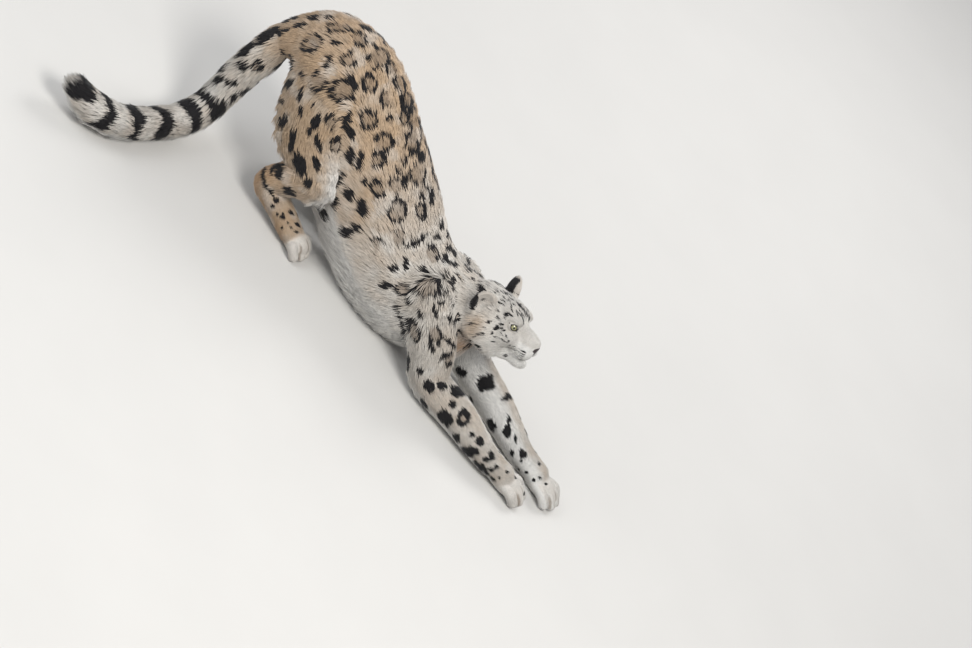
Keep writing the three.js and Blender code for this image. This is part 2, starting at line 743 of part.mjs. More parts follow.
// What remains: neck, chest, abdomen and rump
cutOut("neck", CELLS.neck, COLOURS.coat, [
  [[338, 0, 240], [-0.82, 0, -0.57]],
  [[0, 0, 176], DOWN],
]);
cutOut("chest", CELLS.trunk, COLOURS.coat, [[[128, 0, 180], [-0.9, 0, 0.43]]]);
cutOut("abdomen", CELLS.trunk, COLOURS.coat, [[[-122, 0, 330], [-0.86, 0, 0.5]]]);
cutOut("rump", CELLS.trunk, COLOURS.coat, []);

// Eyes: balls set into the head
for (const [word, side] of [["right", -1], ["left", 1]]) {
  const at = headPoint(mirrored(EYE_AT, side));
  const ball = (grow) =>
    solidOfGeometry(new THREE.SphereGeometry(EYE_RADIUS + grow, 12, 8).translate(...at));
  const head = pieces.get("head");
  head.shape = finished(largest(head.shape.subtract(ball(GAP))));
  pieces.set(`eye_${word}`, { colour: COLOURS.iris, roughness: 0.1, shape: ball(0) });
}

const group = new THREE.Group();
group.name = "snow_leopard";
for (const [name, { colour, roughness, shape }] of pieces) {
  const material = new THREE.MeshStandardMaterial({ color: colour, roughness, metalness: 0 });
  const mesh = new THREE.Mesh(geometryOf(shape), material);
  mesh.name = name;
  group.add(mesh);
}
group.position.set(...mul(FOOTPRINT_CENTRE, -1));

export default group;
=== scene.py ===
"""A life-size snow leopard as a still museum model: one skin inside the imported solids, a coat of
solid tufts over it, and separate eyes and whiskers. Lengths in the body's own tables are millimetres
in the skeleton's frame; everything that Blender is given is metres in the row frame."""

import math

import bmesh
import bpy
import numpy as np
import openvdb
from mathutils import Matrix, Vector


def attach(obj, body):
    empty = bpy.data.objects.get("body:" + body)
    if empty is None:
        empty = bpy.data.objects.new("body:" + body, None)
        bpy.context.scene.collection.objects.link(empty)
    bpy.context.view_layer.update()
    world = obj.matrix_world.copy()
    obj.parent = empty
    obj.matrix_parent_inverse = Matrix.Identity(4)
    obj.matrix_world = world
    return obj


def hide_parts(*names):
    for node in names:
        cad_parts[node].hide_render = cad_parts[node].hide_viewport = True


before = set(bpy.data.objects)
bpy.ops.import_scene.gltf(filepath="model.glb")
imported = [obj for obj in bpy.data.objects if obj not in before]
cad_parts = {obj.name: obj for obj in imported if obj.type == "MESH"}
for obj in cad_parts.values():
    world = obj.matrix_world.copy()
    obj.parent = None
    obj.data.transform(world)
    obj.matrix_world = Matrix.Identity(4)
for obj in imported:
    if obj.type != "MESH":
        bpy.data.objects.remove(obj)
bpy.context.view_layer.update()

# Middle of the footprint in the skeleton's frame, which is the row frame's origin
FOOTPRINT_CENTRE = np.array([117.0, -192.0, 0.0])
MM = 0.001
# A distance beyond every shape's reach
FAR = 400.0
SEED = 41
rng = np.random.default_rng(SEED)

# The photo's view, along +Y and down, rolled so that the body heads down to the right
ELEVATION = math.radians(32)
ROLL = math.radians(50)
AIM = np.array([452.0, 0, 244.0])
CAMERA_DISTANCE = 12000.0
PICTURE_MIDDLE = (486, 324)
PIXELS_PER_METRE = 380.0
upward = np.array([0, math.sin(ELEVATION), math.cos(ELEVATION)])
VIEW_X = math.cos(ROLL) * np.array([1.0, 0, 0]) + math.sin(ROLL) * upward
VIEW_Y = -math.sin(ROLL) * np.array([1.0, 0, 0]) + math.cos(ROLL) * upward
VIEW_Z = np.array([0, -math.cos(ELEVATION), math.sin(ELEVATION)])


# Skeleton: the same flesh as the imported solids. Each station is x, y, z, half height, half width,
# the coat's depth, and how much deeper the coat is on the underside.
TRUNK = [
    [-414, 0, 386, 74, 78, 13, 4],
    [-345, 0, 424, 112, 106, 13, 6],
    [-240, -2, 412, 140, 122, 14, 10],
    [-115, -5, 312, 178, 128, 15, 18],
    [15, -8, 230, 190, 136, 16, 24],
    [140, -8, 162, 184, 138, 16, 24],
    [250, -6, 138, 170, 132, 15, 16],
    [345, -2, 152, 132, 104, 16, 12],
    [402, 0, 172, 104, 84, 18, 10],
]
NECK = [
    [300, -2, 180, 118, 100, 17, 8],
    [365, -3, 222, 100, 92, 17, 8],
    [415, -5, 252, 84, 84, 17, 8],
    [445, -7, 270, 64, 68, 15, 8],
]
TAIL = [
    [-392, 0, 414, 56, 58, 14, 2],
    [-447, -8, 348, 60, 60, 18, 4],
    [-464, -30, 262, 59, 58, 20, 6],
    [-465, -66, 172, 57, 55, 20, 6],
    [-460, -118, 93, 54, 54, 20, 4],
    [-472, -198, 55, 53, 54, 20, 2],
    [-506, -316, 50, 53, 54, 20, 2],
    [-554, -418, 50, 54, 55, 20, 2],
    [-618, -480, 55, 54, 54, 20, 2],
    [-672, -508, 72, 44, 44, 20, 2],
]
LEGS = {
    "right": {
        "side": -1,
        "shoulder": [325, -78, 196],
        "elbow": [470, -106, 66],
        "wrist": [708, -104, 46],
        "fore_toe": [884, -64, 0],
        "hip": [-262, -62, 392],
        "knee": [-98, -108, 222],
        "hock": [-200, -110, 78],
        "hind_toe": [22, -116, 0],
    },
    "left": {
        "side": 1,
        "shoulder": [330, 74, 196],
        "elbow": [500, 92, 74],
        "wrist": [762, 44, 42],
        "fore_toe": [954, 38, 0],
        "hip": [-262, 58, 392],
        "knee": [-92, 108, 222],
        "hock": [-192, 108, 78],
        "hind_toe": [30, 116, 0],
    },
}
FORE_PAW = {"long": 158, "wide": 94, "tall": 58, "toe": 17.5}
HIND_PAW = {"long": 108, "wide": 96, "tall": 62, "toe": 17}
PAW_COAT = 4.0

# Widths over which the pieces of flesh melt into each other, and the share of a limb where it does
NECK_BLEND = 40
HEAD_BLEND = 26
TAIL_ROOT_BLEND = 34
TAIL_ROOT_SHARE = 0.2
FORE_ROOT_BLEND = 46
HIND_ROOT_BLEND = 52
ROOT_SHARE = 0.42
LIMB_END_BLEND = 4
PAW_BLEND = 12
TOE_BLEND = 2.5

HEAD_NOSE = np.array([589.0, -14.0, 324.0])
HEAD_PITCH = 17
HEAD_YAW = -6
HEAD_SCALE = 1.06
# Place, radii, blend width and coat depth, in the head's own frame, which starts at the nose tip
HEAD_FLESH = [
    [[-128, 0, 4], [74, 62, 62], 1, 7],
    [[-166, 0, 16], [52, 62, 58], 24, 13],
    [[-102, 0, 30], [46, 42, 40], 24, 4],
    [[-76, 24, 41], [22, 17, 14], 14, 3],
    [[-50, 0, 11], [53, 22, 22], 18, 2],
    [[-18, 0, 0], [20, 15, 14], 14, 1],
    [[-40, 0, -16], [40, 33, 27], 16, 2.5],
    [[-21, 16, -22], [23, 19, 19], 9, 2],
    [[-68, 34, -4], [26, 20, 20], 16, 3],
    [[-98, 42, -10], [40, 30, 38], 20, 6],
    [[-132, 48, -26], [44, 38, 50], 22, 13],
    [[-104, 40, -44], [40, 30, 34], 18, 10],
    [[-25, 0, -60], [24, 21, 17], 8, 4],
    [[-62, 0, -58], [44, 28, 22], 16, 6],
    [[-104, 0, -56], [48, 46, 34], 22, 12],
]
SOCKET = [[-72, 44, 24], [17, 13, 13], 9]
EYE_RADIUS = 13.5
EYE_AT = [-76, 28, 25]
EAR_BASES = {"right": [-158, 58, 36], "left": [-143, 52, 48]}
EAR_UP = [-0.25, 0.42, 0.87]
EAR_FACING = [0.72, 0.62, -0.1]
EAR = {"tall": 42, "wide": 34, "thick": 16}
EAR_COAT = 2.0
EAR_BLEND = 8
EAR_RIM_BLEND = 5

# Names of the groups of flesh, in the order of their numbers
GROUPS = ["trunk", "neck", "head", "tail", "fore_right", "hind_right", "fore_left", "hind_left"]
TRUNK_ID, NECK_ID, HEAD_ID, TAIL_ID = 0, 1, 2, 3
LEG_IDS = (4, 5, 6, 7)
# Numbers of the forelegs and of the hind legs, each with its side
FORE_SIDES = ((4, -1), (6, 1))
HIND_SIDES = ((5, -1), (7, 1))


def unit(v):
    v = np.asarray(v, float)
    return v / np.maximum(np.linalg.norm(v, axis=-1, keepdims=True), 1e-9)


def smooth(edge0, edge1, x):
    t = np.clip((x - edge0) / (edge1 - edge0), 0, 1)
    return t * t * (3 - 2 * t)


def in_box(p, low, high):
    """Whether each point is inside a box."""
    return np.all((p > low) & (p < high), axis=1)


def blend(a, b, k):
    """A smooth union of two distances over a width k."""
    h = np.clip(0.5 + 0.5 * (b - a) / k, 0, 1)
    return b + (a - b) * h - k * h * (1 - h)


# A sweep's way ahead counts as upright above this slope, and its arc ends this many spans beyond it
STEEP = 0.97
MOST_SPANS_BEYOND = 9


class Sweep:
    """A swept flesh shape through stations, on a Catmull-Rom curve."""

    def __init__(self, stations, steps=5):
        rows = np.array(stations, float)
        last = len(rows) - 1
        points = []
        for i in range(last):
            a, b, c, d = (rows[k] for k in (max(i - 1, 0), i, i + 1, min(i + 2, last)))
            for s in range(steps):
                t = s / steps
                bend = (2 * a - 5 * b + 4 * c - d) * t * t + (-a + 3 * b - 3 * c + d) * t**3
                points.append(0.5 * (2 * b + (c - a) * t + bend))
        points.append(rows[last])
        self.rows = np.array(points)
        along = np.diff(self.rows[:, :3], axis=0)
        self.length = np.linalg.norm(along, axis=1)
        self.ahead = along / self.length[:, None]
        steep = np.abs(self.ahead[:, 2:3]) > STEEP
        upright = np.where(steep, [[1.0, 0, 0]], [[0, 0, 1.0]])
        self.side = unit(np.cross(upright, self.ahead))
        self.up = np.cross(self.ahead, self.side)
        self.arc = np.concatenate([[0], np.cumsum(self.length)])
        reach = self.rows[:, 3:5].max(axis=1, keepdims=True)
        self.low = (self.rows[:, :3] - reach).min(axis=0)
        self.high = (self.rows[:, :3] + reach).max(axis=0)
        self.span_count = len(self.length)
        both_ways = np.vstack([self.ahead[:1], self.ahead, self.ahead[-1:]])
        self.turning = unit(both_ways[:-1] + both_ways[1:])
        both = np.maximum(reach[:-1], reach[1:])
        self.span_low = np.minimum(self.rows[:-1, :3], self.rows[1:, :3]) - both
        self.span_high = np.maximum(self.rows[:-1, :3], self.rows[1:, :3]) + both

    def __call__(self, p, reach=82.0):
        """For each point: distance, share along the sweep, coat depth, arc length, angle round it
        from its top, its half width there and the way ahead. The points lie close together."""
        n = len(p)
        out = {
            "d": np.full(n, FAR),
            "share": np.zeros(n),
            "coat": np.full(n, 10.0),
            "arc": np.zeros(n),
            "angle": np.zeros(n),
            "radius": np.full(n, 50.0),
            "ahead": np.zeros((n, 3)),
        }
        low, high = p.min(axis=0) - reach, p.max(axis=0) + reach
        if np.any(self.low > high) or np.any(self.high < low):
            return out
        spans = np.nonzero(np.all((self.span_low < high) & (self.span_high > low), axis=1))[0]
        best = out["d"]
        for i in spans:
            a, b = self.rows[i], self.rows[i + 1]
            r = p - a[:3]
            along = r @ self.ahead[i]
            t = np.clip(along / self.length[i], 0, 1)
            tall = a[3] + (b[3] - a[3]) * t
            wide = a[4] + (b[4] - a[4]) * t
            deep = np.minimum(tall, wide)
            v = (r @ self.up[i]) / tall
            w = (r @ self.side[i]) / wide
            l = (along - t * self.length[i]) / deep
            near = np.sqrt(v * v + w * w + l * l)
            slope = np.sqrt((v / tall) ** 2 + (w / wide) ** 2 + (l / deep) ** 2)
            d = np.where(near < 1e-6, -deep, near * (near - 1) / np.maximum(slope, 1e-9))
            k = np.nonzero(d < best)[0]
            best[k] = d[k]
            out["share"][k] = (i + t[k]) / self.span_count
            vk, wk, tk = v[k], w[k], t[k]
            under = smooth(-0.15, -0.8, vk / np.maximum(np.hypot(vk, wk), 0.3))
            out["coat"][k] = a[5] + (b[5] - a[5]) * tk + (a[6] + (b[6] - a[6]) * tk) * under
            behind = r[k] @ self.turning[i]
            before = (p[k] - b[:3]) @ self.turning[i + 1]
            even = behind / np.maximum(behind - before, 1e-6)
            if i == 0:
                even = np.where(behind < 0, behind / self.length[i], even)
            if i == self.span_count - 1:
                even = np.where(before > 0, 1 + before / self.length[i], even)
            spans_on = np.clip(even, -MOST_SPANS_BEYOND, MOST_SPANS_BEYOND)
            out["arc"][k] = self.arc[i] + spans_on * self.length[i]
            out["angle"][k] = np.arctan2(wk, vk)
            out["radius"][k] = 0.5 * (tall[k] + wide[k])
            even = np.clip(even, 0, 1)[:, None]
            out["ahead"][k] = self.turning[i] + (self.turning[i + 1] - self.turning[i]) * even
        return out


def ellipsoid(p, at, radii, axes=None):
    q = p - np.asarray(at, float)
    if axes is not None:
        q = q @ np.asarray(axes).T
    c = q / np.asarray(radii, float)
    near = np.sqrt((c * c).sum(axis=1))
    slope = np.sqrt(((c / np.asarray(radii, float)) ** 2).sum(axis=1))
    return np.where(near < 1e-6, -min(radii), near * (near - 1) / np.maximum(slope, 1e-9))


def mix_point(a, b, t):
    return [a[i] + (b[i] - a[i]) * t for i in range(3)]


class Paw:
    """A paw with four toes. heel is its rear end at the wrist or the ball, tip its foremost point."""

    def __init__(self, heel, tip, size):
        self.ahead = unit([tip[0] - heel[0], tip[1] - heel[1], 0])
        self.left = np.array([-self.ahead[1], self.ahead[0], 0])
        self.tip = np.array([tip[0], tip[1], 0.0])
        self.size = size
        tall, toe = size["tall"], size["toe"]
        self.palm = self.place(-size["long"] * 0.5, 0, tall * 0.46)
        self.radii = [size["long"] * 0.38, size["wide"] * 0.44, tall * 0.52]
        self.axes = np.array([self.ahead, self.left, [0, 0, 1]])
        self.toes = []
        for across in (-0.39, -0.14, 0.14, 0.39):
            back = 0.16 * toe + abs(across) ** 2 * size["long"] * 0.62
            y = across * size["wide"]
            spots = [
                (self.place(-back - size["long"] * 0.42, y * 0.72, tall * 0.5), toe, toe * 0.95),
                (self.place(-back - toe * 2.1, y, tall * 0.5), toe * 1.06, toe),
                (self.place(-back - toe * 0.95, y, toe * 0.86), toe, toe * 0.9),
            ]
            stations = [[*at, height, width, PAW_COAT, 0] for at, height, width in spots]
            self.toes.append(Sweep(stations, 3))
        self.low = self.tip - [size["long"] + 60, size["long"] + 60, 40]
        self.high = self.tip + [60, size["long"] + 60, 140]

    def place(self, x, y, z):
        return self.tip * [1, 1, 0] + self.ahead * x + self.left * y + np.array([0, 0, z])

    def __call__(self, p):
        d = ellipsoid(p, self.palm, self.radii, self.axes)
        for toe in self.toes:
            d = blend(d, toe(p, 30.0)["d"], TOE_BLEND)
        return d


def foreleg(j):
    side = j["side"]
    upper = mix_point(j["shoulder"], j["elbow"], 0.55)
    lower = mix_point(j["elbow"], j["wrist"], 0.5)
    knuckles = mix_point(j["wrist"], j["fore_toe"], 0.42)
    x, y, z = j["shoulder"]
    limb = Sweep([
        [x - 40, y + side * 4, z + 26, 70, 50, 15, 2],
        [x, y, z, 86, 54, 14, 2],
        [upper[0], upper[1] + side * 2, upper[2] + 4, 76, 52, 12, 4],
        [*j["elbow"], 61, 50, 9, 5],
        [lower[0], lower[1], lower[2] + 2, 54, 48, 8, 4],
        [*j["wrist"], 40, 41, 6, 2],
        [knuckles[0], knuckles[1], 38, 33, 40, 4.5, 0],
    ])
    return limb, Paw(j["wrist"], j["fore_toe"], FORE_PAW), FORE_ROOT_BLEND


def hind_leg(j):
    side = j["side"]
    thigh = mix_point(j["hip"], j["knee"], 0.5)
    shin = mix_point(j["knee"], j["hock"], 0.45)
    ball = mix_point(j["hock"], j["hind_toe"], 0.6)
    ball[2] = 36
    mid = mix_point(j["hock"], ball, 0.55)
    hip, knee = j["hip"], j["knee"]
    limb = Sweep([
        [hip[0] - 44, hip[1] - side * 4, hip[2] + 6, 92, 56, 14, 0],
        [hip[0] - 28, hip[1] + side * 5, hip[2] - 38, 120, 64, 14, 2],
        [thigh[0] - 50, thigh[1] + side * 8, thigh[2] - 34, 116, 64, 13, 6],
        [knee[0] - 30, knee[1], knee[2] - 14, 80, 54, 11, 4],
        [shin[0] - 10, shin[1], shin[2], 58, 46, 9, 3],
        [*j["hock"], 41, 38, 6, 1],
        [*mid, 39, 40, 5, 1],
        [*ball, 33, 42, 4.5, 0],
    ])
    return limb, Paw(ball, j["hind_toe"], HIND_PAW), HIND_ROOT_BLEND


trunk, neck, tail = Sweep(TRUNK), Sweep(NECK), Sweep(TAIL)
limbs = []
for joints in LEGS.values():
    limbs += [foreleg(joints), hind_leg(joints)]

# Head frame: rows are the head's own x, y and z
yaw, pitch = math.radians(HEAD_YAW), math.radians(-HEAD_PITCH)
head_turn = np.array(Matrix.Rotation(yaw, 3, "Z") @ Matrix.Rotation(pitch, 3, "Y"))
head_axes = head_turn.T


def to_head(p):
    return ((p - HEAD_NOSE) @ head_axes.T) / HEAD_SCALE


def from_head(h):
    return np.asarray(h, float) * HEAD_SCALE @ head_axes + HEAD_NOSE


def mirrored(p, side):
    return np.array([p[0], p[1] * side, p[2]], float)


ear_frames = {}
for word, side in (("right", -1), ("left", 1)):
    up = unit(mirrored(EAR_UP, side))
    across = unit(np.cross(up, mirrored(EAR_FACING, side)))
    facing = np.cross(across, up)
    ear_frames[word] = (np.array(mirrored(EAR_BASES[word], side)), facing, across, up)


def ear_distance(h, word, coat=0.0):
    """The cupped ear, in the head's frame and its millimetres."""
    base, facing, across, up = ear_frames[word]
    axes = np.array([facing, across, up])
    outer = ellipsoid(h, base + up * 8, [EAR["thick"], EAR["wide"], EAR["tall"]], axes) + coat
    hollow = base + up * 14 + facing * 15
    inner = ellipsoid(h, hollow, [16, EAR["wide"] * 0.74, EAR["tall"] * 0.78], axes) - coat
    return -blend(-outer, inner, EAR_RIM_BLEND)


def head_distances(p):
    """Distance to the coat's outside and to the skin, both for the head, in millimetres."""
    h = to_head(p)
    outer = np.full(len(h), FAR)
    skin = np.full(len(h), FAR)
    for at, radii, k, coat in HEAD_FLESH:
        for side in (1, -1) if at[1] else (1,):
            d = ellipsoid(h, mirrored(at, side), radii)
            outer = blend(outer, d, k)
            skin = blend(skin, d + coat, k)
    at, radii, k = SOCKET
    for side in (1, -1):
        d = ellipsoid(h, mirrored(at, side), radii)
        outer = -blend(-outer, d, k)
        skin = -blend(-skin, d, k)
    for word in ear_frames:
        outer = blend(outer, ear_distance(h, word), EAR_BLEND)
        skin = blend(skin, ear_distance(h, word, EAR_COAT), EAR_BLEND)
    skin = face_details(h, skin)
    return outer * HEAD_SCALE, skin * HEAD_SCALE


# Face: what the skin adds to the solids
MOUTH_LINE = [
    [-1, 0.0, -22, 2.2, 1.6, 0, 0],
    [-2, 0.2, -35, 2.4, 1.8, 0, 0],
    [-8, 9, -42, 2.2, 2.0, 0, 0],
    [-24, 21, -43, 2.2, 2.4, 0, 0],
    [-44, 30, -38, 2.0, 2.6, 0, 0],
    [-60, 36, -36, 1.5, 2.6, 0, 0],
]
MOUTH_REACH = 14.0
MOUTH_BLEND = 2.0
LID_RADIUS = 14.8
LID_DIP = 12.0
LID_BLEND = 4
LID_EDGE_BLEND = 0.8
# Half the width and half the height of the opening, how square its curve is, and how far it is raised
LID_OPENING = (10.2, 6.0)
LID_CURVE = 2.6
LID_RAISED = 1.0
EYE_GAZE = [0.62, 0.76, 0.12]
EYE_CORNER = [0.70, -0.62, -0.42]
NOSTRIL = [[1.5, 7.5, -4], [5, 3.6, 2.8]]
NOSTRIL_SLIT = [[-4, 12, -7], [6, 3.4, 1.8]]
NOSTRIL_BLEND = 1.2
# Boxes of the head's frame: where the skin has details, where it may be bare, and where it is finer
DETAILS_BOX = ([-112, -66, -62], [16, 66, 62])
BARE_BOX = ([-110, -60, -62], [20, 60, 62])
FACE_BOX = ([-116, -70, -66], [np.inf, 70, 66])
HEAD_BOX = ([-200, -100, -75], [np.inf, 100, np.inf])


def eye_frame(side):
    """An eye's middle, the way it looks, the way to its inner corner and up, in the head's frame."""
    gaze = unit(mirrored(EYE_GAZE, side))
    corner = mirrored(EYE_CORNER, side)
    corner = unit(corner - gaze * (corner @ gaze))
    return mirrored(EYE_AT, side), gaze, corner, np.cross(corner, gaze) * side


mouth = {side: Sweep([[r[0], r[1] * side, *r[2:]] for r in MOUTH_LINE], 4) for side in (1, -1)}


def lid_edge(h, side):
    """How far a point is outside the opening between the lids, seen along the gaze."""
    at, gaze, corner, rise = eye_frame(side)
    r = h - at
    c, u, g = r @ corner, r @ rise - LID_RAISED, r @ gaze
    wide, high = LID_OPENING
    edge = np.abs(u) - high * (1 - np.clip(np.abs(c / wide) ** LID_CURVE, 0, 1.6))
    return np.maximum(edge * 0.85, 3 - g)


def face_details(h, skin):
    """Eyeballs under their lids, the mouth's line and the nostrils, added to the skin's distance."""
    front = np.nonzero(in_box(h, *DETAILS_BOX))[0]
    if not len(front):
        return skin
    q, d = h[front], skin[front].copy()
    for side in (1, -1):
        ball = np.linalg.norm(q - mirrored(EYE_AT, side), axis=1)
        d = blend(d, ball - LID_RADIUS / HEAD_SCALE, LID_BLEND)
        dip = np.maximum(lid_edge(q, side), LID_DIP / HEAD_SCALE - ball)
        d = -blend(-d, dip, LID_EDGE_BLEND)
        d = -blend(-d, mouth[side](q, MOUTH_REACH)["d"], MOUTH_BLEND)
        nostril = ellipsoid(q, mirrored(NOSTRIL[0], side), NOSTRIL[1])
        slit = ellipsoid(q, mirrored(NOSTRIL_SLIT[0], side), NOSTRIL_SLIT[1])
        d = -blend(-d, np.minimum(nostril, slit), NOSTRIL_BLEND)
    skin = skin.copy()
    skin[front] = d
    return skin


HEAD_LOW = HEAD_NOSE - [290, 150, 210]
HEAD_HIGH = HEAD_NOSE + [40, 150, 150]
# How wide the groups' shares of a point melt, and where the head's coat streams from
GROUP_MELT = 16.0
COAT_STARTS = np.array([34.0, 0, 4])


def root_width(share, root_blend, root_share):
    """A limb's blend width: wide at its root, and LIMB_END_BLEND further out."""
    return LIMB_END_BLEND + (root_blend - LIMB_END_BLEND) * (1 - np.clip(share / root_share, 0, 1))


def body(p, full=False):
    """The field of the whole body at points that lie close together: distance to the coat's outside
    and to the skin. With full, also which group a point belongs to, its place there and the lie."""
    n = len(p)
    t, k = trunk(p), neck(p)
    outer = blend(t["d"], k["d"], NECK_BLEND)
    skin = blend(t["d"] + t["coat"], k["d"] + k["coat"], NECK_BLEND)
    raw = np.full((len(GROUPS), n), FAR)
    raw[TRUNK_ID], raw[NECK_ID] = t["d"], k["d"]
    places = {TRUNK_ID: t, NECK_ID: k}
    near_head = np.nonzero(in_box(p, HEAD_LOW, HEAD_HIGH))[0]
    if len(near_head):
        head_outer, head_skin = head_distances(p[near_head])
        outer[near_head] = blend(outer[near_head], head_outer, HEAD_BLEND)
        skin[near_head] = blend(skin[near_head], head_skin, HEAD_BLEND)
        raw[HEAD_ID, near_head] = head_outer
    s = tail(p)
    width = root_width(s["share"], TAIL_ROOT_BLEND, TAIL_ROOT_SHARE)
    outer = blend(outer, s["d"], width)
    skin = blend(skin, s["d"] + s["coat"], width)
    raw[TAIL_ID] = s["d"]
    places[TAIL_ID] = s
    paw_part = np.zeros(n)
    for number, (limb, paw, root_blend) in enumerate(limbs):
        s = limb(p)
        width = root_width(s["share"], root_blend, ROOT_SHARE)
        d, ds = s["d"].copy(), s["d"] + s["coat"]
        m = np.nonzero(in_box(p, paw.low, paw.high))[0]
        if len(m):
            foot = paw(p[m])
            belongs = np.where(foot < 40, smooth(14, -14, foot - s["d"][m]), 0)
            paw_part[m] = np.maximum(paw_part[m], belongs)
            d[m] = blend(s["d"][m], foot, PAW_BLEND)
            ds[m] = blend(ds[m], foot + PAW_COAT, PAW_BLEND)
        outer = blend(outer, d, width)
        skin = blend(skin, ds, width)
        raw[TAIL_ID + 1 + number] = d
        places[TAIL_ID + 1 + number] = s
    if not full:
        return outer, skin
    group = raw.argmin(axis=0)
    near = np.exp(-(raw - raw.min(axis=0)) / GROUP_MELT)
    out = {"outer": outer, "skin": skin, "group": group, "paw": paw_part}
    out["near"] = (near / near.sum(axis=0)).T
    for key in ("share", "arc", "angle", "radius"):
        out[key] = np.zeros(n)
        for number, place in places.items():
            m = group == number
            out[key][m] = place[key][m]
    # the coat lies along the sweeps: towards the tail on trunk and neck, towards the toes on a leg
    lie = np.zeros((n, 3))
    for number, place in places.items():
        sign = -1 if number in (TRUNK_ID, NECK_ID) else 1
        lie += near[number][:, None] * place["ahead"] * sign
    droop = near[TRUNK_ID] * smooth(0.8, -0.2, np.cos(out["angle"])) * 0.75 + near[NECK_ID] * 0.25
    lie[:, 2] -= droop
    h = to_head(p)
    stream = unit(h - COAT_STARTS)
    for word, (_, _, _, up) in ear_frames.items():
        close = smooth(8, -2, ear_distance(h, word))[:, None]
        stream = stream * (1 - close) + up * close
    lie += near[HEAD_ID][:, None] * (stream @ head_axes)
    out["lie"] = unit(lie)
    out["head"] = h
    return out


FLOOR_SKIN = 2.0
CHUNK = 3000


def in_chunks(function, p):
    """Calls function on chunks of points that lie close together, and puts the answers in order."""
    cell = np.floor((p - p.min(axis=0)) / 60).astype(int)
    order = np.lexsort((cell[:, 2], cell[:, 1], cell[:, 0]))
    cuts = np.nonzero(np.any(np.diff(cell[order], axis=0), axis=1))[0] + 1
    parts, start = [], 0
    for cut in [*cuts, len(p)]:
        if cut - start >= CHUNK // 6 or cut == len(p):
            parts.append(order[start:cut])
            start = cut
    answers = [function(p[part]) for part in parts]
    back = np.empty(len(p), int)
    back[np.concatenate(parts)] = np.arange(len(p))
    if isinstance(answers[0], dict):
        return {key: np.concatenate([a[key] for a in answers])[back] for key in answers[0]}
    return np.concatenate(answers)[back]


def skin_distance(p):
    """The skin, cut off a little above the floor."""
    outer, skin = body(p)
    return np.maximum(skin, FLOOR_SKIN + 0.35 * np.clip(skin - outer, 0, 40) - p[:, 2])


# Skin mesh
VOXEL = 5.0
BLOCK = 4
GRID_LOW = np.array([-760.0, -600.0, -32.0])
GRID_HIGH = np.array([1000.0, 200.0, 600.0])


def lattice(count):
    return np.stack(np.meshgrid(*[np.arange(c) for c in count], indexing="ij"), axis=-1).reshape(-1, 3)


def skin_surface():
    """Samples the skin's distance near its surface and turns it into points and quads."""
    size = VOXEL * BLOCK
    count = np.ceil((GRID_HIGH - GRID_LOW) / size).astype(int)
    blocks = lattice(count)
    middle = GRID_LOW + (blocks + 0.5) * size - VOXEL / 2
    d = in_chunks(skin_distance, middle)
    dense = np.repeat(np.repeat(np.repeat(d.reshape(count), BLOCK, 0), BLOCK, 1), BLOCK, 2)
    close = blocks[np.abs(d) < size * 1.35]
    cells = (close[:, None, :] * BLOCK + lattice((BLOCK,) * 3)[None]).reshape(-1, 3)
    dense[tuple(cells.T)] = in_chunks(skin_distance, GRID_LOW + cells * VOXEL)
    grid = openvdb.FloatGrid(background=size)
    grid.copyFromArray(dense.astype(np.float32))
    points, quads = grid.convertToQuads(isovalue=0.0)
    return np.array(points, float) * VOXEL + GRID_LOW, np.array(quads, int)


def mesh_arrays(mesh):
    co = np.empty(len(mesh.vertices) * 3, np.float32)
    mesh.vertices.foreach_get("co", co)
    normal = np.empty(len(mesh.vertices) * 3, np.float32)
    mesh.vertex_normals.foreach_get("vector", normal)
    return co.reshape(-1, 3).astype(float), normal.reshape(-1, 3).astype(float)


def settle(mesh, rounds, most=2.5):
    """Moves the vertices of a mesh in skeleton millimetres onto the skin, along their normals."""
    for _ in range(rounds):
        co, normal = mesh_arrays(mesh)
        d = in_chunks(skin_distance, co)
        co -= normal * np.clip(d, -most, most)[:, None] * 0.9
        mesh.vertices.foreach_set("co", co.astype(np.float32).ravel())
        mesh.update()


def refine(mesh, chosen):
    """Divides the faces whose corners are all chosen."""
    bm = bmesh.new()
    bm.from_mesh(mesh)
    bm.verts.ensure_lookup_table()
    edges = [e for e in bm.edges if chosen[e.verts[0].index] and chosen[e.verts[1].index]]
    bmesh.ops.subdivide_edges(bm, edges=edges, cuts=1, use_grid_fill=True)
    bm.to_mesh(mesh)
    bm.free()
    mesh.update()


def in_face(co):
    return in_box(to_head(co), *FACE_BOX)


def in_head(co):
    return in_box(to_head(co), *HEAD_BOX)


def in_paw(co):
    found = np.zeros(len(co), bool)
    for _, paw, _ in limbs:
        to_tip = np.linalg.norm(co[:, :2] - paw.tip[:2], axis=1)
        found |= in_box(co, paw.low, paw.high) & (to_tip < paw.size["long"])
    return found


def make_skin():
    points, quads = skin_surface()
    mesh = bpy.data.meshes.new("skin")
    mesh.from_pydata(points, [], quads)
    mesh.update()
    settle(mesh, 1)
    co, _ = mesh_arrays(mesh)
    refine(mesh, in_head(co) | in_paw(co))
    settle(mesh, 2)
    co, _ = mesh_arrays(mesh)
    refine(mesh, in_face(co))
    settle(mesh, 4, 1.2)
    mesh.shade_smooth()
    return mesh


def to_row(p):
    """From the skeleton's millimetres to the row frame's metres."""
    return (np.asarray(p, float) - FOOTPRINT_CENTRE) * MM


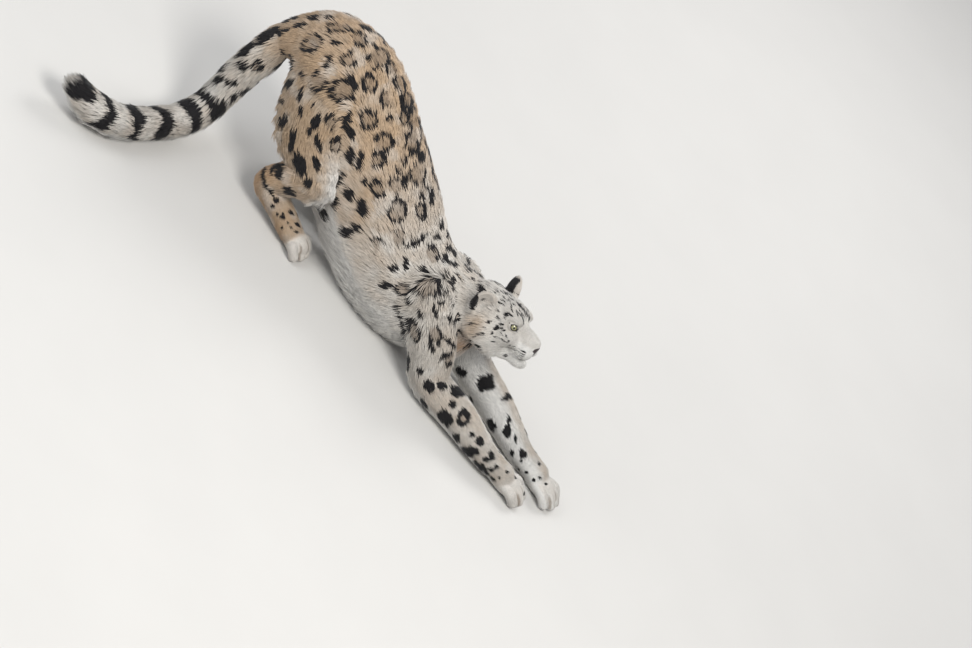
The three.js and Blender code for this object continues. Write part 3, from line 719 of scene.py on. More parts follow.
# Noise: one number from 0 to 1 for each lattice corner, and smooth noise between them
def hashed(cell, seed):
    n = cell[..., 0] * 374761393 + cell[..., 1] * 668265263 + cell[..., 2] * 1274126177 + seed * 144665573
    n = (n ^ ((n & 0xFFFFFFFF) >> 13)) & 0xFFFFFFFF
    n = (n * 1103515245 + 12345) & 0xFFFFFFFF
    n = (n ^ (n >> 15)) & 0xFFFFFFFF
    n = (n * 747796405) & 0xFFFFFFFF
    return ((n >> 9) & 0xFFFF) / 65535.0


def noise(p, size, seed=0):
    q = p / size
    cell = np.floor(q).astype(np.int64)
    f = q - cell
    f = f * f * (3 - 2 * f)
    total = np.zeros(len(p))
    for corner in lattice((2, 2, 2)):
        weight = np.prod(np.where(corner, f, 1 - f), axis=1)
        total += weight * hashed(cell + corner, seed)
    return total


def cell_seed(p, size, seed=0):
    """The nearest of the scattered points, one in each cell of a lattice, and its own random number."""
    cell = np.floor(p / size).astype(np.int64)
    best = np.full(len(p), 1e9)
    found = np.zeros_like(p)
    number = np.zeros(len(p))
    for corner in lattice((3, 3, 3)) - 1:
        c = cell + corner
        at = np.stack([c[:, i] + 0.15 + 0.7 * hashed(c, seed + i) for i in range(3)], axis=1) * size
        d = ((p - at) ** 2).sum(axis=1)
        m = d < best
        best[m], found[m], number[m] = d[m], at[m], hashed(c[m], seed + 3)
    return found, number


# Markings
class Marks:
    """Dark rings and spots. Each lies at a point of the skin, with a normal and a way along."""

    def __init__(self):
        self.rows = []

    def add(self, at, normal, along, long, wide, ring, group):
        along = unit(along - normal * (along @ normal))
        self.rows.append((at, normal, along, np.cross(normal, along), long, wide, ring, group))

    def paint(self, p, normals, share_of):
        """How dark, and how far inside a ring, each point is."""
        dark, core_and_toe_shade = np.zeros(len(p)), np.zeros(len(p))
        wobble = noise(p, 11, 5) - 0.5
        fine = noise(p, 5, 6) - 0.5
        gap = noise(p, 19, 7)
        order = np.argsort(p[:, 0])
        xs = p[order, 0]
        for at, normal, along, across, long, wide, ring, group in self.rows:
            reach = max(long, wide) * 1.5
            a, b = np.searchsorted(xs, [at[0] - reach, at[0] + reach])
            m = order[a:b]
            r = p[m] - at
            near = np.abs(r).max(axis=1) < reach
            m, r = m[near], r[near]
            if not len(m):
                continue
            facing = normals[m] @ normal
            x, y, deep = r @ along, r @ across, r @ normal
            rho = np.sqrt((x / long) ** 2 + (y / wide) ** 2)
            rough = min(1.0, max(long, wide) / 14)
            rho = rho + wobble[m] * (0.42 if ring else 0.5) * rough + fine[m] * 0.3 * rough
            here = (facing > 0.1) & (np.abs(deep) < reach * 0.8) & (share_of[m, group] > 0.12)
            if group != HEAD_ID:
                here &= share_of[m, HEAD_ID] < 0.5
            if ring:
                band = smooth(ring + 0.07, ring - 0.08, np.abs(rho - (1 - ring)))
                broken = smooth(0.32, 0.44, gap[m])
                value = band * broken
                inside = smooth(1.0 - ring * 0.6, 0.85 - ring * 1.2, rho)
                core_and_toe_shade[m] = np.maximum(core_and_toe_shade[m], np.where(here, inside * 0.9, 0))
            else:
                value = smooth(1.12, 0.86, rho)
            dark[m] = np.maximum(dark[m], np.where(here, value, 0))
        return dark, core_and_toe_shade


def scattered(points, allowed, spacing):
    """Points of the skin that keep their own spacing from each other, taken in random order."""
    index = np.nonzero(allowed)[0]
    index = rng.permutation(index)[:MOST_TRIES]
    kept = np.zeros((0, 3))
    kept_index = []
    for i in index:
        if len(kept) and np.min(((kept - points[i]) ** 2).sum(axis=1)) < spacing[i] ** 2:
            continue
        kept = np.vstack([kept, points[i]])
        kept_index.append(i)
    return kept_index


THROAT = np.array([455, -20, 190.0])


def groin_fold(p, field):
    """Where the long white hair hangs between the thigh and the flank."""
    thighs = sum(field["near"][:, number] for number, _ in HIND_SIDES)
    both = 4 * field["near"][:, TRUNK_ID] * thighs
    return smooth(0.30, 0.85, both) * smooth(350, 240, p[:, 2]) * smooth(-230, -150, p[:, 0])


def tones_at(p, normals, field):
    """Warmth, orange and whiteness of the coat's ground colour, each group's melting into the next."""
    x = p[:, 0]
    share, arc, paw = field["share"], field["arc"], field["paw"]
    total = np.zeros((len(p), 3))

    def give(number, *tones):
        nonlocal total
        ones = np.ones(len(p))
        total += field["near"][:, number, None] * np.stack([tone * ones for tone in tones], axis=1)

    uneven = noise(p, 40, 11) - 0.5
    along = smooth(-90, 280, x)
    low = smooth(0.22, -0.55, normals[:, 2] + 0.3 * uneven)
    for number in (TRUNK_ID, NECK_ID):
        give(number, 0.88 - 0.74 * along, 0.10 * smooth(-250, -380, x), low * smooth(-330, -180, x) * 0.9)
    down = smooth(-0.1, -0.75, normals[:, 2])
    give(TAIL_ID, 0.85 * smooth(220, 0, arc) + 0.12, 0, down * smooth(60, 260, arc) * 0.9)
    for number, side in FORE_SIDES:
        inner = smooth(0.15, 0.8, -side * normals[:, 1])
        under =smooth(-0.3, -0.9, normals[:, 2])
        white = np.maximum(np.maximum(inner * smooth(0.15, 0.45, share), under), 0.55 * paw)
        give(number, 0.20 - 0.15 * inner + 0.08 * paw, 0, white)
    for number, side in HIND_SIDES:
        inner = smooth(0.15, 0.8, -side * normals[:, 1])
        back = smooth(0.2, -0.7, normals[:, 0]) * smooth(0.45, 0.8, share)
        white = np.maximum(inner * smooth(0.1, 0.5, share), 0.75 * paw)
        give(number, 0.84 - 0.5 * inner, back * (1 - paw) * 0.6, white)
    h = field["head"]
    ruff = smooth(-100, -138, h[:, 0]) * smooth(34, 0, h[:, 2])
    chin = smooth(-26, -44, h[:, 2]) * smooth(-110, -60, h[:, 0])
    muzzle = smooth(-64, -30, h[:, 0]) * smooth(14, -6, h[:, 2])
    ear = np.zeros(len(p))
    for word, (base, _, _, up) in ear_frames.items():
        ear = np.maximum(ear, smooth(6, 0, ear_distance(h, word)) * smooth(-4, 4, (h - base) @ up))
    white = np.maximum(np.maximum(chin, muzzle) * 0.95, 0.42 * (1 - ruff))
    give(HEAD_ID, 0.10 + 0.80 * ruff + 0.38 * ear, 0.16 * ruff, white)
    fold = groin_fold(p, field)
    total[:, 2] = np.maximum(total[:, 2], 0.75 * fold)
    total[:, 0] *= 1 - 0.6 * fold
    throat = smooth(90, 20, np.linalg.norm((p - THROAT) / [1, 1.0, 0.8], axis=1)) * (h[:, 0] < -60)
    total[:, 1] = np.maximum(total[:, 1], 0.75 * throat)
    total[:, 2] = np.maximum(total[:, 2], 0.32 * smooth(0.5, 0.85, noise(p, 30, 14)) * (total[:, 1] < 0.3))
    total[:, 0] += 0.34 * (noise(p, 34, 12) - 0.5) + 0.12 * (noise(p, 12, 13) - 0.5)
    return np.clip(total, 0, 1)


# The tail's dark bands: where each lies along it, and half its width
TAIL_BANDS = [(340, 22), (420, 26), (545, 28), (648, 26), (742, 20), (835, 24)]


def tail_bands(field, normals):
    """How dark the bands are. They are half rings over the tail, with wavy edges."""
    arc, angle = field["arc"], field["angle"]
    wave = arc + 7 * np.sin(angle * 2 + arc / 40) + 5 * np.sin(angle * 3)
    wave = wave + 22 * (noise(field["head"], 26, 51) - 0.5)
    band = np.zeros(len(arc))
    for at, half in TAIL_BANDS:
        narrow = half * (0.78 + 0.22 * np.cos(angle))
        band = np.maximum(band, smooth(3, -3, np.abs(wave - at) - narrow))
    return band * smooth(-0.66, -0.30, normals[:, 2])


WHISKER_ROWS = 4
TEAR_LINE = ([-63, 25, 18], [-52, 21, 1])


def head_marks(field):
    """The head's own lines: stripes over the crown, eye rims, tear lines, lips and ear backs."""
    h = field["head"]
    dark = np.zeros(len(h))
    front = (h[:, 0] > -230) & (np.abs(h[:, 1]) < 130) & (field["group"] == HEAD_ID)
    front = np.nonzero(front)[0]
    if not len(front):
        return dark
    q = h[front]
    x, y, z = q.T
    value = np.zeros(len(q))
    # fine stripes that run back over the forehead
    line = np.abs(((np.abs(y) + 2.4 * np.sin(x / 11.0)) / 7.4) % 1.0 - 0.5)
    crown = smooth(-58, -68, x) * smooth(-165, -145, x) * smooth(36, 44, z) * smooth(38, 30, np.abs(y))
    value = np.maximum(value, smooth(0.24, 0.13, line) * smooth(0.36, 0.5, noise(q, 15, 22)) * crown)
    # rows of small streaks at the roots of the whiskers
    along = smooth(-54, -44, x) * smooth(-6, -13, x) * (np.abs(y) > 10)
    patchy = smooth(0.38, 0.52, noise(q, 5, 21))
    for row in range(WHISKER_ROWS):
        line = np.abs(z + 12 + 5.6 * row - 0.10 * (x + 12))
        value = np.maximum(value, 0.95 * smooth(2.3, 1.1, line) * along * patchy)
    for side in (1, -1):
        at, gaze, corner, rise = eye_frame(side)
        edge = lid_edge(q, side)
        close = np.linalg.norm(q - at, axis=1) < 30
        value = np.maximum(value, smooth(3.4, 1.8, edge) * close)
        tear = capsule(q, mirrored(TEAR_LINE[0], side), mirrored(TEAR_LINE[1], side))
        value = np.maximum(value, smooth(5.6, 2.8, tear))
        inner = np.linalg.norm(q - (at + corner * 12 + gaze * 5), axis=1)
        value = np.maximum(value, smooth(8.5, 5.5, inner))
        lash = capsule(q, at - corner * 12 + gaze * 3, at - corner * 26 - gaze * 4 + rise * 3)
        value = np.maximum(value, 0.9 * smooth(3.4, 1.4, lash))
        lips = mouth[side](q, MOUTH_REACH)["d"]
        value = np.maximum(value, smooth(5.2, 2.6, lips))
    for word, (base, facing, across, up) in ear_frames.items():
        r = q - base
        rear = r @ across * (1 if word == "left" else -1)
        behind = np.maximum(smooth(2, -3, r @ facing + 2), smooth(12, 18, rear))
        tall = r @ up
        patch = smooth(46, 38, tall) * smooth(-44, -32, tall)
        patch = patch * smooth(44, 36, rear) * smooth(-26, -20, rear)
        near = smooth(56, 48, np.linalg.norm(r, axis=1))
        value = np.maximum(value, behind * patch * near)
    dark[front] = value
    return dark


def capsule(p, a, b):
    """How far each point is from the line between a and b."""
    along = b - a
    t = np.clip(((p - a) @ along) / (along @ along), 0, 1)
    return np.linalg.norm(p - a - t[:, None] * along, axis=1)


# Marks read off the photo: place in the picture, half length, half width, all in its pixels,
# tilt in degrees clockwise from the picture's level, and a ring's thickness (0 for a solid spot)
PICTURE_MARKS = [
    # rump and back
    (314.4, 43.7, 12, 9.5, -10, 0.2), (341, 29.6, 12.6, 6, 0, 0.22), (362, 42.3, 9, 8.5, 0, 0.24),
    (350.8, 61.9, 9.2, 7.4, 0, 0.24), (381, 60.5, 12.5, 11.2, 30, 0.2), (336.1, 44.4, 2.6, 3, 0, 0),
    (342.8, 44.4, 2.4, 2.6, 0, 0), (321.4, 81.6, 8.7, 11.2, 0, 0.22), (330, 63, 3.2, 8.5, 30, 0),
    (344.5, 92.8, 14, 11.5, 0, 0.2), (353, 81, 4, 4, 0, 0), (369.8, 87, 7.5, 10.5, -20, 0.24),
    (385.9, 102.6, 5.5, 8, -10, 0.26), (302.3, 92.5, 2.8, 7, 0, 0), (302.4, 108, 2.8, 6, 0, 0),
    (291.9, 81.6, 5.2, 6, 0, 0), (291.2, 57.7, 6, 6.5, 0, 0.3), (304.5, 72.4, 2.6, 3.6, 20, 0),
    (314.4, 101.9, 1.6, 1.6, 0, 0), (331.9, 120.8, 8.4, 9.2, 0, 0.22), (316, 119, 4.6, 9, 30, 0),
    (309, 130, 3.4, 3.6, 0, 0), (349.5, 121, 4.6, 10, 25, 0), (370, 123.2, 9.6, 11.6, 0, 0.2),
    (390.1, 122.2, 4, 6, 0, 0.3), (353.6, 134.9, 4, 7.6, -10, 0), (335.4, 143.3, 7.4, 7.4, 0, 0.26),
    (320, 141.9, 3.5, 7.6, -8, 0), (299.6, 161.5, 6, 12.4, -4, 0), (317.2, 160.8, 4.2, 7.6, -8, 0),
    (279.7, 171.4, 5, 8.6, 0, 0), (293, 137.5, 4.2, 11, 32, 0), (308.8, 180.5, 5, 5.6, -20, 0),
    (290.5, 191.7, 8, 4.2, 20, 0), (264, 173, 2.4, 8, -20, 0), (270, 161, 2.4, 5.6, 10, 0),
    (285, 118, 4.4, 6, 30, 0), (285, 99, 4, 3.6, 0, 0), (383.8, 146.8, 10.5, 11, 15, 0.22),
    (378.2, 163, 8.4, 10, 10, 0.24), (352.2, 158.7, 4.6, 9.6, 0, 0), (362.1, 166, 3.4, 11, 15, 0),
    (343, 181, 3.4, 8.5, 40, 0), (351, 195, 7, 5.6, 40, 0), (378, 191.5, 7.2, 9.6, 0, 0.24),
    (367, 183, 3.4, 5, 0, 0), (365.9, 210.6, 5.4, 11, 0, 0), (350, 233, 5.4, 6, 0, 0),
    (360, 231, 4.4, 5, 0, 0), (329.3, 217, 6, 4.6, 20, 0), (399.4, 213.8, 9, 12, 0, 0.16),
    (395, 190, 7, 9, 0, 0.2), (340, 205, 3.6, 7, 40, 0),
    # dorsal band
    (391, 72, 6.4, 9, -20, 0.24), (400, 86, 6, 9, -25, 0.26), (407, 103, 6, 10, -20, 0.26),
    (404, 121, 4, 10, -10, 0.26), (413, 121, 6, 13, -12, 0.26), (412, 145, 7.4, 15, -5, 0.24),
    (421, 160, 4.2, 7, 0, 0), (418, 178, 8, 14, -5, 0.24), (431, 159, 3, 7, 0, 0),
    (432, 176, 2.6, 7, 0, 0), (423.3, 194, 7, 8, 0, 0.3), (421.7, 212, 6, 9, 0, 0.28),
    (404, 160, 3, 12, -5, 0.3), (405, 185, 3.6, 8, 0, 0), (431, 200, 3, 9, -5, 0),
    (400, 172, 4, 5, 0, 0.3), (395, 45, 8, 4, 40, 0.26), (372, 25, 7, 3, 20, 0), (385, 33, 7, 3, 35, 0),
    # shoulders and flank behind them
    (432.8, 256, 8.2, 10, 0, 0.22), (436, 239.3, 4.4, 3.6, 0, 0), (378.7, 247.2, 6.4, 7, 0, 0.3),
    (396.2, 269.6, 5.4, 3.6, 0, 0), (407.4, 267, 2.8, 6, 0, 0), (427.4, 285.3, 12, 9.4, -15, 0.16),
    (399, 240, 10, 7, -40, 0.16), (416, 246, 14, 3, -30, 0), (388.5, 286, 6, 3.8, 0, 0),
    (449, 251, 4, 4, 0, 0), (446, 262, 3.4, 5, 0, 0), (455, 257, 3, 3, 0, 0), (452, 266, 3.6, 3, 0, 0),
    (447, 238, 3, 4.4, -20, 0), (441, 228, 3.4, 3.6, 0, 0), (416.6, 328.6, 5.6, 14, -6, 0.26),
    (435, 332.4, 6.6, 11, -14, 0.26), (422.3, 310.8, 2.4, 5.4, -15, 0), (435, 309, 2.4, 6, -20, 0),
    (404, 322, 2.4, 17, 4, 0), (450, 341, 2.4, 10, -50, 0), (447.8, 358, 6.4, 7.8, 0, 0.3),
    (460.6, 370, 5.8, 3.8, 15, 0), (460.6, 389.6, 6.6, 4, 8, 0), (429, 385.2, 5.6, 7.6, -20, 0),
    (442.2, 383.4, 6.2, 4.2, 25, 0), (471.5, 397.9, 3, 3, 0, 0), (432, 345, 2.6, 6, -20, 0),
    (412, 300, 3, 5, 10, 0), (424, 270, 4, 3, -30, 0), (484.8, 380.9, 8.4, 10, 15, 0),
    (410, 358, 3, 8, -15, 0), (420, 369, 3.4, 4.4, -30, 0), (405, 290, 8, 6, 0, 0.2),
    (463, 333, 2, 7, -30, 0),
    # neck
    (453.8, 281, 3.2, 2.6, -30, 0), (452.4, 286.4, 3, 2.2, -30, 0), (460.5, 280, 2.6, 4.4, -10, 0.3),
    (446.5, 277.5, 3.4, 2.6, -30, 0), (456.6, 268.5, 3, 3, 0, 0), (443, 290, 4, 2.6, -20, 0),
    (455.8, 299.5, 2, 4.6, 0, 0), (467, 267, 3.4, 2.2, -30, 0), (470, 273.5, 3.6, 2.2, -30, 0),
    (479, 275, 2, 3.4, -20, 0), (484, 277, 2.4, 2, 0, 0), (450, 315, 2.6, 5, -10, 0),
    (458, 318, 4, 4.6, 0, 0.3), (441, 300, 5, 3, -35, 0),
    # near foreleg
    (443.6, 416, 6.6, 9.6, -20, 0), (463, 417.3, 6.8, 8.2, 0, 0.34), (480.6, 440.3, 4.6, 5.2, -20, 0),
    (467.9, 450.6, 8.8, 4.8, 12, 0), (484.8, 459.7, 3.8, 2.6, 10, 0), (492, 454.8, 2.8, 6, -15, 0),
    (469.7, 468.2, 2.8, 2.6, 0, 0), (480.6, 468.2, 4, 3.6, 10, 0), (490.9, 470, 3.6, 2, -8, 0),
    (497, 467, 2.6, 2, 0, 0), (484.8, 476, 2.2, 2, 0, 0), (490.3, 478.5, 1.8, 2, 0, 0),
    (493.3, 480.3, 1.6, 1.8, 0, 0), (498.2, 478.5, 1.8, 1.4, 0, 0), (507.9, 471.2, 2, 1.8, 0, 0),
    (516.4, 476.7, 1.6, 1.4, 0, 0), (453, 437, 3.2, 5, -30, 0), (424, 401, 3, 6, -30, 0),
    (452, 404, 3.4, 4, 0, 0), (470, 434, 3, 3, 0, 0),
    # far foreleg
    (506.7, 395.5, 6, 3.6, -20, 0), (505.5, 430.6, 4.4, 7.6, 0, 0), (508.5, 418.5, 2, 5, 0, 0),
    (516, 437, 1.8, 6, -10, 0), (510.3, 452.4, 2.6, 2.8, 0, 0), (523.6, 452.4, 3.6, 6, -20, 0),
    (490, 424, 4, 7, -15, 0), (533.9, 480.9, 2, 2, 0, 0), (541, 478, 1.8, 1.4, 0, 0),
    (525, 473, 2, 1.6, 0, 0), (547, 483, 2, 1.4, 0, 0), (517, 469, 1.8, 1.6, 0, 0),
    (520, 461, 2, 2, 0, 0),
    # hind leg below the knee
    (273, 193, 2.2, 5, -25, 0), (277, 200, 3.4, 3, 0, 0), (284, 214, 1.6, 1.8, 0, 0),
    (280, 217, 2.2, 1.8, 0, 0), (284, 219, 1.6, 1.6, 0, 0), (292, 213, 3.6, 1.6, 35, 0),
    (298, 224, 3.2, 1.6, 30, 0), (281, 226, 1.8, 2, 0, 0), (292, 228, 1.6, 1.2, 0, 0),
    (272, 206, 2.6, 2, 20, 0), (276, 213, 1.6, 2, 0, 0), (297, 231, 2.4, 1.2, 10, 0),
    (288, 222, 1.4, 1.4, 0, 0), (266, 184, 2, 4, -20, 0),
    # tail root
    (262, 30, 8, 4, -35, 0), (273, 24, 8, 3.4, -30, 0), (293, 20, 8, 4, -15, 0), (317, 19, 7, 3, 0, 0),
    (331, 20, 5, 2.6, 10, 0), (241, 47, 5, 4.4, 0, 0), (246, 64, 4.6, 5.6, 10, 0),
    (258, 64, 6, 6, 0, 0.3), (232, 80, 6.6, 4.6, 0, 0), (255, 45, 5, 4.6, -20, 0),
    (268, 40, 6, 4, -20, 0), (221, 62, 8, 4, -40, 0), (214, 75, 6, 4, -30, 0), (284, 33, 7, 3, -15, 0),
    (302, 27, 6, 3, 0, 0),
]
# Solid marks of the head and nape, read off an enlargement that starts at HEAD_CROP in the picture
HEAD_CROP = np.array([455.0, 260.0])
HEAD_ENLARGED = 13.07
HEAD_PICTURE_MARKS = [
    (690, 695, 45, 24, -10), (638, 740, 16, 34, 10), (740, 715, 24, 16, 30), (575, 750, 14, 28, 0),
    (470, 800, 28, 18, -35), (410, 885, 18, 16, 0), (538, 890, 24, 40, 35), (487, 955, 16, 24, 20),
    (400, 975, 14, 32, 15), (352, 975, 24, 12, 10), (625, 830, 28, 15, 0), (620, 880, 20, 16, -20),
    (662, 915, 30, 11, -20), (535, 1020, 20, 12, 0), (510, 1075, 18, 8, 0), (240, 1065, 36, 18, -30),
    (345, 1125, 40, 13, 0), (375, 1175, 28, 11, -15), (620, 985, 10, 30, -25), (640, 1070, 58, 8, 35),
    (715, 1078, 15, 13, 0), (722, 1130, 14, 10, 0), (690, 1005, 9, 26, -20), (665, 1265, 32, 18, 0),
    (760, 625, 10, 68, 0), (825, 690, 9, 52, -5), (783, 575, 24, 9, 35), (705, 512, 22, 10, 30),
    (648, 492, 18, 8, 40), (300, 1000, 22, 12, 0), (585, 660, 10, 18, 0), (30, 105, 18, 30, 0),
    (190, 170, 30, 14, -20), (312, 212, 14, 32, 0), (385, 275, 24, 14, -20), (460, 255, 20, 18, 0),
    (290, 335, 32, 10, 0), (240, 272, 34, 10, 0), (150, 120, 14, 34, 10), (900, 760, 8, 60, 0),
    (868, 620, 50, 8, 45), (930, 690, 40, 7, 50), (905, 640, 60, 7, 48), (850, 575, 60, 7, 45),
    (760, 510, 70, 7, 30), (700, 450, 60, 7, 25), (820, 460, 60, 6, 28), (960, 720, 8, 40, -15),
    (985, 770, 10, 40, 0),
]
# The group that each group's marks are mirrored to, and how far aside a mark of the middle ones lies
MIDDLE_GROUPS = ("trunk", "neck", "tail", "head")
MIRRORED_TO = {
    **{name: name for name in MIDDLE_GROUPS},
    "fore_right": "fore_left",
    "fore_left": "fore_right",
    "hind_right": "hind_left",
}
LEAST_ASIDE = 12
MOST_MISSED = 26
# A mark on skin that slopes away from the camera is stretched at most this much
STEEPEST = 1.7
# How far from a reading's place its vertex may be, in pixels, tried in turn
SEARCH_REACHES = (1.5, 4, 9, 18)
# Scattered marks of the sides that the photo doesn't show: group, spacing and size
SCATTERED = [(TRUNK_ID, 52, 17), (NECK_ID, 34, 9), (TAIL_ID, 44, 14), *((k, 36, 10) for k in LEG_IDS)]
MOST_TRIES = 9000
TAIL_ROOT_END = 310
LOWER_LEG = 0.7


def in_picture(points):
    """Each point's place in the photo's picture, and how near the camera it is."""
    r = points - AIM
    near = r @ VIEW_Z
    scale = PIXELS_PER_METRE * MM * CAMERA_DISTANCE / (CAMERA_DISTANCE - near)
    across = PICTURE_MIDDLE[0] + scale * (r @ VIEW_X)
    down = PICTURE_MIDDLE[1] - scale * (r @ VIEW_Y)
    return np.stack([across, down], axis=1), near


def seen_vertex(picture, near, place):
    """The frontmost vertex that faces the camera at a place in the picture."""
    gap = np.linalg.norm(picture - place, axis=1)
    for reach in SEARCH_REACHES:
        close = np.nonzero(gap < reach)[0]
        if len(close):
            return close[np.argmax(near[close])]
    return None


def along_skin(normal, tilt, size):
    """A way in the picture and a length in its pixels, laid on the skin."""
    way = VIEW_X * math.cos(tilt) - VIEW_Y * math.sin(tilt)
    way = way - VIEW_Z * (way @ normal) / max(VIEW_Z @ normal, 0.2)
    length = size / (PIXELS_PER_METRE * MM)
    return unit(way), length * min(np.linalg.norm(way), STEEPEST)


def nearest_point(members, field, i):
    """The vertex nearest to the mirrored place of vertex i, shifted a little, and how far it misses."""
    if field["group"][i] == HEAD_ID:
        d = ((field["head"][members] - field["head"][i] * [1, -1, 1]) ** 2).sum(axis=1)
    else:
        arc = field["arc"][i] + rng.uniform(-7, 7)
        angle = -field["angle"][i] + rng.uniform(-0.07, 0.07)
        around = (field["angle"][members] - angle + math.pi) % (2 * math.pi) - math.pi
        d = (field["arc"][members] - arc) ** 2 + (field["radius"][members] * around) ** 2
    best = int(np.argmin(d))
    return members[best], math.sqrt(d[best])


def seed_marks(points, normals, field):
    """The marks seen in the photo, their mirror images on the far side, and scattered ones elsewhere."""
    marks = Marks()
    group = field["group"]
    taken = []

    def lie_at(i):
        normal = normals[i]
        return unit(field["lie"][i] - normal * (field["lie"][i] @ normal))

    def put(i, long, wide, turn, ring):
        normal, lie = normals[i], lie_at(i)
        along = lie * math.cos(turn) + np.cross(normal, lie) * math.sin(turn)
        marks.add(points[i], normal, along, long, wide, ring, group[i])
        taken.append([*points[i], max(long, wide)])

    seen = np.nonzero(normals @ VIEW_Z > 0.05)[0]
    picture, near = in_picture(points[seen])
    readings = [(row[:2], *row[2:]) for row in PICTURE_MARKS]
    for x, y, long, wide, tilt in HEAD_PICTURE_MARKS:
        place = HEAD_CROP + np.array([x, y]) / HEAD_ENLARGED
        readings.append((place, long / HEAD_ENLARGED, wide / HEAD_ENLARGED, tilt, 0))
    copied = []
    for place, long, wide, tilt, ring in readings:
        found = seen_vertex(picture, near, place)
        if found is None:
            continue
        i = seen[found]
        tilt = math.radians(tilt)
        along, long = along_skin(normals[i], tilt, long)
        _, wide = along_skin(normals[i], tilt + math.pi / 2, wide)
        lie = lie_at(i)
        turn = math.atan2(np.cross(lie, along) @ normals[i], lie @ along)
        put(i, long, wide, turn, ring)
        copied.append((i, long, wide, turn, ring))
    for i, long, wide, turn, ring in copied:
        name = GROUPS[group[i]]
        aside = -field["head"][i, 1] if name == "head" else -math.degrees(field["angle"][i])
        if name not in MIRRORED_TO or (name in MIDDLE_GROUPS and aside < LEAST_ASIDE):
            continue
        members = np.nonzero(group == GROUPS.index(MIRRORED_TO[name]))[0]
        j, miss = nearest_point(members, field, i)
        old = np.array(taken)
        needed = 0.7 * (old[:, 3] + max(long, wide))
        gap = np.linalg.norm(old[:, :3] - points[j], axis=1) - needed
        if miss < MOST_MISSED and gap.min() > 0:
            put(j, long, wide, -turn, ring)

    share, paw = field["share"], field["paw"]
    for number, spacing, size in SCATTERED:
        old = np.array(taken)
        allowed = (group == number) & (normals[:, 2] > -0.5) & (points[:, 2] > 18)
        allowed &= normals @ VIEW_Z < 0.15
        if number == TAIL_ID:
            allowed &= field["arc"] < TAIL_ROOT_END
        index = np.nonzero(allowed)[0]
        index = index[rng.permutation(len(index))[:MOST_TRIES]]
        fits = np.zeros(len(points), bool)
        gap = np.full(len(index), 1e3)
        for x, y, z, reach in old:
            gap = np.minimum(gap, np.linalg.norm(points[index] - [x, y, z], axis=1) - reach)
        fits[index] = gap > size * 1.5
        lower_leg = (share > LOWER_LEG) & (number in LEG_IDS)
        room = np.where(lower_leg, spacing * 0.6, float(spacing))
        for i in scattered(points, fits, room):
            scale = rng.uniform(0.75, 1.2) * (0.55 if lower_leg[i] else 1.0)
            if paw[i] > 0.3:
                if rng.uniform() > 0.4:
                    continue
                scale *= 0.5
            ring = 0.26 if number == TRUNK_ID and rng.uniform() < 0.55 else 0
            put(i, size * scale * 1.2, size * scale * 0.9, rng.uniform(-0.45, 0.45), ring)
    return marks


# Where the gaps between the toes are, in shares of the paw's width, for the painted shade in them
TOE_GAPS = (-0.265, 0, 0.265)


def painted_toe_shade(p, field, normals):
    """Painted shade in the grooves between the toes, seen from above and in front."""
    shade = np.zeros(len(p))
    for _, paw, _ in limbs:
        m = np.nonzero(in_box(p, paw.low, paw.high) & (field["paw"] > 0.3))[0]
        r = p[m] - paw.tip
        across, ahead = r @ paw.left, r @ paw.ahead
        for gap in TOE_GAPS:
            line = smooth(3.6, 1.2, np.abs(across - gap * paw.size["wide"]))
            shade[m] = np.maximum(shade[m], line * smooth(-52, -34, ahead))
    return shade * smooth(-0.4, 0.0, normals[:, 2])


def markings(p, normals, field, marks):
    """Everything the coat's colour needs at points p: dark, core (ring centres and painted shade between
    the toes), warm, orange, white.
    """
    dark, core_and_toe_shade = marks.paint(p, normals, field["near"])
    dark = np.maximum(dark, tail_bands(field, normals) * (field["group"] == TAIL_ID))
    dark = np.maximum(dark, head_marks(field))
    tones = tones_at(p, normals, field)
    # painted shade in the grooves between the toes, in the same channel as the ring centres
    core_and_toe_shade = np.maximum(core_and_toe_shade, painted_toe_shade(p, field, normals))
    return np.column_stack([dark, core_and_toe_shade, tones])


